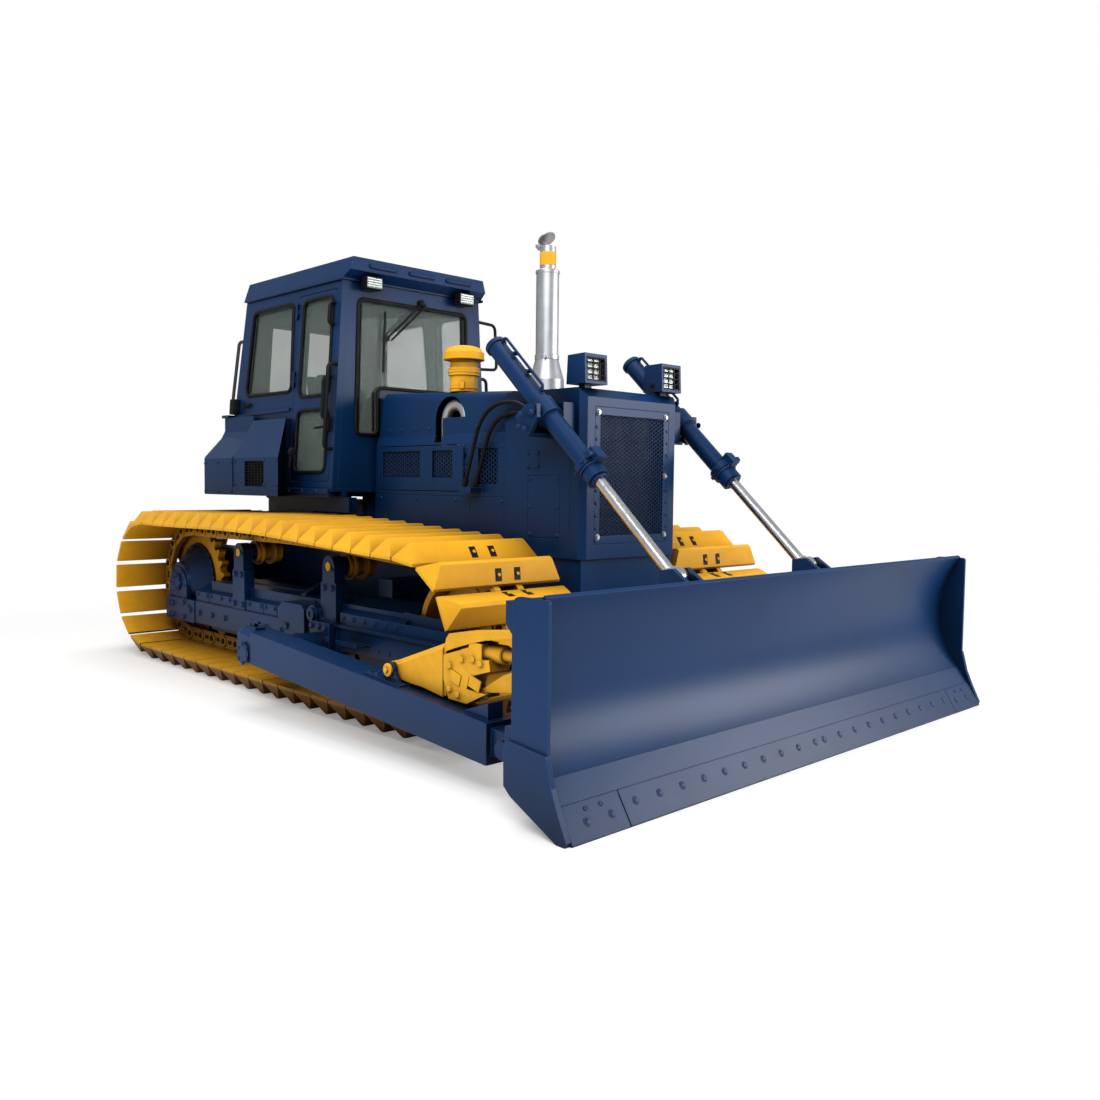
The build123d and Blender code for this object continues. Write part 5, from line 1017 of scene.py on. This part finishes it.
def on_cab_wall(side, x, z, proud):
    """Point this far off a cab's side, which leans inward as it rises."""
    return Vector((x, side * (CAB_SILL_Y - (z - CAB_SILL_Z) * WALL_LEAN + proud), z))


def wall_rods(side, rods):
    """Bent rods on a cab's side, from rows of (x, z, distance off it) points, radius and corner."""
    return [tube([on_cab_wall(side, *point) for point in points], radius, corner=corner)
            for points, radius, corner in rods]


class DOZER_OT_cab(bpy.types.Operator):
    """Fits seals, wiper, roof trim, handles and latches, and bolts to boxes, tank and sill"""

    bl_idname = "dozer.cab"
    bl_label = "Fit the cab's seals and handles"

    def execute(self, context):
        radius = context.scene.dozer_sizes.seal_radius
        sides = []
        for side, word in SIDES:
            out, door = (0, side, SIDE_LEAN), word + "_door"
            sides.append((door + "_glass", out, door, door + "_seals"))
            sides.append(("cab_glass", out, "chassis", word + "_window_seals"))
        sides.append(("cab_glass", (1, 0, 0), "chassis", "windscreen_seal"))
        sides.append(("cab_glass", (-1, 0, REAR_LEAN), "chassis", "rear_window_seal"))
        for node, out, body, name in sides:
            way = Vector(out).normalized()
            rings = []
            for row in pane_loops(node, out):
                middle = sum(row, Vector()) / len(row)
                # the outer seal stands 21 mm ahead of this face, the inner one 30 mm behind it
                rings.append(tube([p + way * 0.021 + (p - middle).normalized() * 0.004
                                   for p in row], radius, True))
                rings.append(tube([p - way * 0.030 for p in row], radius * 0.8, True))
            settle(joined(rings), name, "black", body, 0.7)
        # wiper: two arms from one pivot, carrying an upright blade
        x = WIPER_X
        pivot = turned_model([(0.026, 0.0), (0.026, 0.022), (0.020, 0.030), (0.008, 0.032)], 16)
        parts = [placed(pivot, (-0.711, 0.060, 2.868), (1, 0, 0))]
        for dy, dz in ((0.0, 0.0), (0.040, -0.012)):
            parts.append(tube([(x, 0.060 + dy, 2.868 + dz), (x, -0.270 + dy, 2.560 + dz)], 0.0085))
        parts.append(tube([(x - 0.006, -0.285, 2.760), (x - 0.006, -0.300, 2.300)], 0.010))
        parts.append(placed(box_model((0.050, 0.030, 0.012), 0.003), (x, -0.272, 2.556), (1, 0, 0)))
        settle(joined(parts), "wiper", "iron", smooth=0.7)
        # three pressed ribs on the roof's front edge
        ribs = [box_model((0.034, 0.250, 0.034), 0.012, (-0.614, y, 3.062))
                for y in (-0.36, 0.0, 0.36)]
        settle(joined(ribs), "roof_ribs", "navy")
        gutter = [box_model((1.50, 0.014, 0.020), 0.004, (-1.42, side * 0.668, 2.962))
                  for side in (-1, 1)]
        gutter.append(box_model((0.014, 1.30, 0.018), 0.004, (-0.700, 0.0, 2.963)))
        settle(joined(gutter), "roof_gutter", "navy")
        for side, word in SIDES:
            pull, lever, top = wall_rods(side, DOOR_RODS)
            latch = placed(box_model((0.052, 0.105, 0.030), 0.006),
                           on_cab_wall(side, -0.792, 1.880, 0.014), (0, side, SIDE_LEAN))
            door = word + "_door"
            settle(joined([pull, latch, lever, top]), door + "_handles", "iron", door, 0.7)
            rail, hook = wall_rods(side, WALL_RODS)
            clasp = placed(box_model((0.070, 0.130, 0.060), 0.008),
                           on_cab_wall(side, -2.255, 2.080, 0.030), (0, side, SIDE_LEAN))
            grips = [rail, clasp, hook]
            if word == "left":
                grips += wall_rods(side, LEFT_RODS)
            settle(joined(grips), word + "_cab_grips", "iron", smooth=0.7)
            # latch knob and lever on the side box's front
            knob = placed(turned_model([(0.014, 0.0), (0.014, 0.030), (0.030, 0.034),
                                        (0.034, 0.052), (0.028, 0.066), (0.012, 0.070)], 18),
                         (-1.152, side * 0.852, 1.678), (1, 0, 0))
            stem = tube([(-1.160, side * 0.846, 1.700), (-1.120, side * 0.856, 1.640),
                         (-1.140, side * 0.858, 1.560)], 0.008, corner=0.02)
            settle(joined([knob, stem]), word + "_box_latch", "iron", smooth=0.7)
        for name, y, xs, zs in (("side_box_bolts", 943, (-1855, -1380, -1180), (1425, 1615)),
                                ("tank_bolts", 950, (-2370, -2140, -1915), (1365, 1600)),
                                ("sill_bolts", 772, (-1300, -1100, -900, -770), (1382,))):
            bolts(name, on_plate(y, [(x, z) for x in xs for z in zs]), 0.018)
        return {"FINISHED"}


# --- seat -------------------------------------------------------------------------------------

CLOTH_VOXEL = 0.012
CLOTH_FRAMES = 14
CLOTH_PRESSURE = 4.0
SEAT_X = -1.650
BACK_TILT = -0.165


def stuffed(name, size, centre, tilt, swell):
    """A cushion: a rounded slab that cloth pressure fills, no point moving further than swell."""
    slab = box_model(size, 0.0)
    bpy.ops.object.mode_set(mode="EDIT")
    bpy.ops.mesh.select_all(action="SELECT")
    bpy.ops.mesh.subdivide(number_cuts=5)
    bpy.ops.object.mode_set(mode="OBJECT")
    slab = bevelled(slab, min(size) * 0.34, 3, 1.0)
    slab = moved(slab, Matrix.Translation(centre) @ Matrix.Rotation(tilt, 4, "Y"))
    remesh = slab.modifiers.new("even", "REMESH")
    remesh.mode, remesh.voxel_size = "VOXEL", CLOTH_VOXEL
    bpy.ops.object.modifier_apply(modifier=remesh.name)
    rest = [v.co.copy() for v in slab.data.vertices]
    cloth = slab.modifiers.new("pressure", "CLOTH")
    cloth.settings.use_pressure = True
    cloth.settings.uniform_pressure_force = CLOTH_PRESSURE
    cloth.settings.effector_weights.gravity = 0.0
    for step in range(1, CLOTH_FRAMES + 1):
        bpy.context.scene.frame_set(step)
    bpy.ops.object.modifier_apply(modifier=cloth.name)
    bpy.context.scene.frame_set(1)
    for vertex, start in zip(slab.data.vertices, rest):
        move = vertex.co - start
        if move.length > swell:
            vertex.co = start + move.normalized() * swell
    rounding = slab.modifiers.new("soft", "SUBSURF")
    rounding.levels = rounding.render_levels = 1
    bpy.ops.object.modifier_apply(modifier=rounding.name)
    return settle(slab, name, "cloth", smooth=3.2)


class DOZER_OT_seat(bpy.types.Operator):
    """Builds the operator's seat: pan, bellows, frame and stuffed cushions"""

    bl_idname = "dozer.seat"
    bl_label = "Build the seat"

    def execute(self, context):
        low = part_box("operator_seat")[0]
        floor, x = low.z, SEAT_X
        base = box_model((0.40, 0.40, 0.05), 0.008, (x, 0, floor + 0.025))
        bellows = [box_model((0.34 - 0.03 * (k % 2), 0.34 - 0.03 * (k % 2), 0.030), 0.010,
                             (x, 0, floor + 0.065 + 0.029 * k)) for k in range(7)]
        pan = box_model((0.50, 0.50, 0.040), 0.012, (x, 0, floor + 0.285))
        back = moved(box_model((0.030, 0.44, 0.60), 0.012),
                     Matrix.Translation((x - 0.262, 0, floor + 0.62))
                     @ Matrix.Rotation(BACK_TILT, 4, "Y"))
        frame_piece = settle(joined([base, *bellows, pan, back]), "seat_frame", "trim")
        # name, size, distance from the seat's middle and height over the floor, tilt, swell
        cushions = [stuffed(name, size, (x + ahead, 0, floor + up), tilt, swell)
                    for name, size, ahead, up, tilt, swell in (
                        ("seat_cushion", (0.47, 0.48, 0.105), 0.010, 0.357, -0.03, 0.014),
                        ("back_cushion", (0.090, 0.44, 0.52), -0.196, 0.650, BACK_TILT, 0.014),
                        ("head_cushion", (0.070, 0.25, 0.13), -0.285, 0.875, BACK_TILT, 0.008))]
        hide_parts("operator_seat")
        arms = [box_model((0.30, 0.055, 0.035), 0.014, (x + 0.01, side * 0.255, floor + 0.52))
                for side in (-1, 1)]
        stays = [tube([(x - 0.20, side * 0.245, floor + 0.36),
                       (x - 0.12, side * 0.25, floor + 0.515)], 0.012) for side in (-1, 1)]
        settle(joined(arms + stays), "seat_arms", "trim")
        return {"FINISHED"}


# --- exhaust and air cleaner ------------------------------------------------------------------

STACK_X, STACK_Y = 1.030, -0.225
CLAMP_Z = 2.275


class DOZER_OT_stack(bpy.types.Operator):
    """Fits bands and bolts to the exhaust, bands to the pre-cleaner and clamps to the intake"""

    bl_idname = "dozer.stack"
    bl_label = "Fit the stack's clamps"

    def execute(self, context):
        stack = Matrix.Translation((STACK_X, STACK_Y, 0))
        bands = []
        for z, radius, half in ((CLAMP_Z, 0.0745, 0.016), (2.820, 0.0735, 0.010)):
            bands.append(turned_model([(radius, z - half), (radius + 0.004, z - half),
                                       (radius + 0.005, z - half + 0.002),
                                       (radius + 0.005, z + half - 0.002),
                                       (radius + 0.004, z + half), (radius, z + half)], 40))
        lug = box_model((0.040, 0.012, 0.028), 0.003, (0.092, 0, CLAMP_Z))
        screw = placed(hex_bolt(0.016, False), (0.098, 0.006, CLAMP_Z), (0, 1, 0))
        clamp = moved(joined(bands + [lug, screw]), stack @ Matrix.Rotation(-0.9, 4, "Z"))
        settle(clamp, "exhaust_clamps", "steel")
        band = turned_model([(0.052, 2.862), (0.0535, 2.862), (0.0535, 2.946), (0.052, 2.946)], 40)
        settle(moved(band, stack), "exhaust_band", "yellow")
        rows = [(x, y, 2057, 0, 0, 1)
                for x, y in round_centre(1000 * STACK_X, 1000 * STACK_Y, 103, 6, 0.3, SIXTH_TURN)]
        bolts("exhaust_base_bolts", rows, 0.018, "bolt", mirror=False)
        low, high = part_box("air_precleaner")
        middle = Matrix.Translation(((low.x + high.x) / 2, (low.y + high.y) / 2, 0))
        rings = []
        for z, radius in ((low.z + 0.028, 0.0975), (low.z + 0.138, 0.1105), (low.z + 0.192, 0.094)):
            rings.append(turned_model([(radius, z - 0.008), (radius + 0.003, z - 0.007),
                                       (radius + 0.003, z + 0.007), (radius, z + 0.008)], 36))
        rim = turned_model([(0.141, low.z + 0.222), (0.1435, low.z + 0.222),
                            (0.1435, low.z + 0.232), (0.141, low.z + 0.234)], 40)
        clip = box_model((0.016, 0.030, 0.050), 0.004, (0.102, 0, low.z + 0.040))
        settle(moved(joined([*rings, rim, clip]), middle @ Matrix.Rotation(-0.8, 4, "Z")),
               "precleaner_bands", "yellow")
        # collar and clamp on the intake's tube
        collars = [placed(turned_model([(0.0395, -0.014), (0.0425, -0.013), (0.0425, 0.013),
                                       (0.0395, 0.014)], 28), (x, -0.360, z), (0, 0, 1))
                   for x, z in ((0.164, 1.86), (0.382, 1.80))]
        settle(joined(collars), "intake_clamps", "bolt")
        return {"FINISHED"}


# --- stage ------------------------------------------------------------------------------------

CAMERA_PLACE = (5.7366, -4.7669, 1.4553)
CAMERA_AZIMUTH = 45.727
CAMERA_PITCH = 3.302
CAMERA_ROLL = 0.631
SENSOR_WIDTH = 36.0
LENS = 32.654
CAMERA_SHIFT_Y = -0.0075
FLOOR_HALF = 40.0
# distance from the middle where the floor starts to turn white, and where it has
FADE_FROM, FADE_TO = 3.6, 6.6
# how much lighter the camera sees the floor than its own light makes it
FLOOR_LIFT = 0.20
WORLD_STRENGTH = 0.42
WHITE = (1, 1, 1, 1)


def add_light(name, place, target, size, power):
    """A rectangular soft box at place, facing target."""
    data = bpy.data.lights.new(name, "AREA")
    data.shape = "RECTANGLE"
    data.size, data.size_y = size
    data.energy = power
    light = bpy.data.objects.new(name, data)
    bpy.context.scene.collection.objects.link(light)
    light.location = place
    light.rotation_euler = (Vector(target) - Vector(place)).to_track_quat("-Z", "Y").to_euler()


def seen_directly(tree):
    """Socket that is 1 for what the camera sees, also through a pane, and 0 for all other light."""
    rays = add_node(tree, "ShaderNodeLightPath").outputs
    return calculated(tree, "MAXIMUM", rays["Is Camera Ray"], rays["Is Transmission Ray"])


class DOZER_OT_stage(bpy.types.Operator):
    """Sets the floor, the soft lights and the camera"""

    bl_idname = "dozer.stage"
    bl_label = "Set the stage"

    def execute(self, context):
        scene = context.scene
        scene.view_settings.view_transform = "Standard"
        bpy.ops.object.select_all(action="DESELECT")
        bpy.ops.mesh.primitive_plane_add(size=2 * FLOOR_HALF, location=(0, 0, 0))
        floor = context.object
        floor.name = "studio_floor"
        # matt white floor: the object's shadow lies on it, and it turns into the white background
        material, tree, shader, place = new_material("matt_white_studio_floor", Roughness=0.9,
                                                     Base_Color=linear("#f2f2f2"),
                                                     Specular_IOR_Level=0.1)
        seen = seen_directly(tree)
        away = add_node(tree, "ShaderNodeVectorMath", {0: place}, operation="LENGTH")
        fade = add_node(tree, "ShaderNodeMapRange", {"Value": away.outputs["Value"],
                        "From Min": FADE_FROM, "From Max": FADE_TO},
                        interpolation_type="SMOOTHSTEP").outputs["Result"]
        share = calculated(tree, "MULTIPLY", fade, seen)
        white = add_node(tree, "ShaderNodeEmission", {"Color": WHITE, "Strength": 1.0})
        lift = add_node(tree, "ShaderNodeEmission", {"Color": WHITE, "Strength":
                        calculated(tree, "MULTIPLY", seen, FLOOR_LIFT)})
        near = add_node(tree, "ShaderNodeAddShader", {0: shader.outputs[0], 1: lift.outputs[0]})
        both = add_node(tree, "ShaderNodeMixShader", {0: share, 1: near.outputs[0],
                        2: white.outputs[0]})
        tree.links.new(both.outputs[0], tree.nodes["Material Output"].inputs["Surface"])
        floor.data.materials.append(material)
        world = bpy.data.worlds.new("soft_studio")
        scene.world = world
        world.use_nodes = True
        tree = world.node_tree
        lit = tree.nodes["Background"]
        lit.inputs["Color"].default_value = WHITE
        lit.inputs["Strength"].default_value = WORLD_STRENGTH
        white = add_node(tree, "ShaderNodeBackground", {"Color": WHITE, "Strength": 1.0})
        seen = seen_directly(tree)
        both = add_node(tree, "ShaderNodeMixShader", {0: seen, 1: lit.outputs[0],
                        2: white.outputs[0]})
        tree.links.new(both.outputs[0], tree.nodes["World Output"].inputs["Surface"])
        add_light("key_soft_box", (6.0, -7.0, 7.5), (0.0, 0.0, 1.0), (6.0, 4.0), 620.0)
        add_light("front_soft_box", (7.6, 5.2, 3.0), (2.4, -0.3, 0.6), (4.5, 2.6), 330.0)
        add_light("top_soft_box", (-1.0, 0.0, 9.0), (0.0, 0.0, 1.0), (8.0, 6.0), 420.0)
        data = bpy.data.cameras.new("camera")
        data.sensor_width = SENSOR_WIDTH
        data.lens = LENS
        data.shift_y = CAMERA_SHIFT_Y
        camera = bpy.data.objects.new("camera", data)
        scene.collection.objects.link(camera)
        turn = (Matrix.Rotation(math.radians(CAMERA_AZIMUTH), 4, "Z")
                @ Matrix.Rotation(math.radians(90 - CAMERA_PITCH), 4, "X")
                @ Matrix.Rotation(math.radians(CAMERA_ROLL), 4, "Z"))
        camera.matrix_world = Matrix.Translation(CAMERA_PLACE) @ turn
        scene.camera = camera
        return {"FINISHED"}


STEPS = (DOZER_OT_paint, DOZER_OT_tracks, DOZER_OT_undercarriage, DOZER_OT_blade,
         DOZER_OT_cylinders, DOZER_OT_grilles, DOZER_OT_lamps, DOZER_OT_cab, DOZER_OT_seat,
         DOZER_OT_stack, DOZER_OT_stage)


class DOZER_PT_panel(bpy.types.Panel):
    """Lists the steps that finish the bulldozer"""

    bl_idname = "DOZER_PT_panel"
    bl_label = "Bulldozer"
    bl_space_type = "VIEW_3D"
    bl_region_type = "UI"
    bl_category = "Dozer"

    def draw(self, context):
        for group in (context.scene.dozer_colours, context.scene.dozer_sizes):
            for name in group.__annotations__:
                self.layout.prop(group, name)
        for step in STEPS:
            self.layout.operator(step.bl_idname)


CLASSES = (DozerColours, DozerSizes, *STEPS, DOZER_PT_panel)


def register():
    for cls in CLASSES:
        bpy.utils.register_class(cls)
    bpy.types.Scene.dozer_colours = PointerProperty(type=DozerColours)
    bpy.types.Scene.dozer_sizes = PointerProperty(type=DozerSizes)


def unregister():
    del bpy.types.Scene.dozer_sizes
    del bpy.types.Scene.dozer_colours
    for cls in reversed(CLASSES):
        bpy.utils.unregister_class(cls)


def main():
    register()
    dozer = bpy.ops.dozer
    for step in (dozer.paint, dozer.tracks, dozer.undercarriage, dozer.blade, dozer.cylinders,
                 dozer.grilles, dozer.lamps, dozer.cab, dozer.seat, dozer.stack, dozer.stage):
        step()


if __name__ == "__main__":
    main()
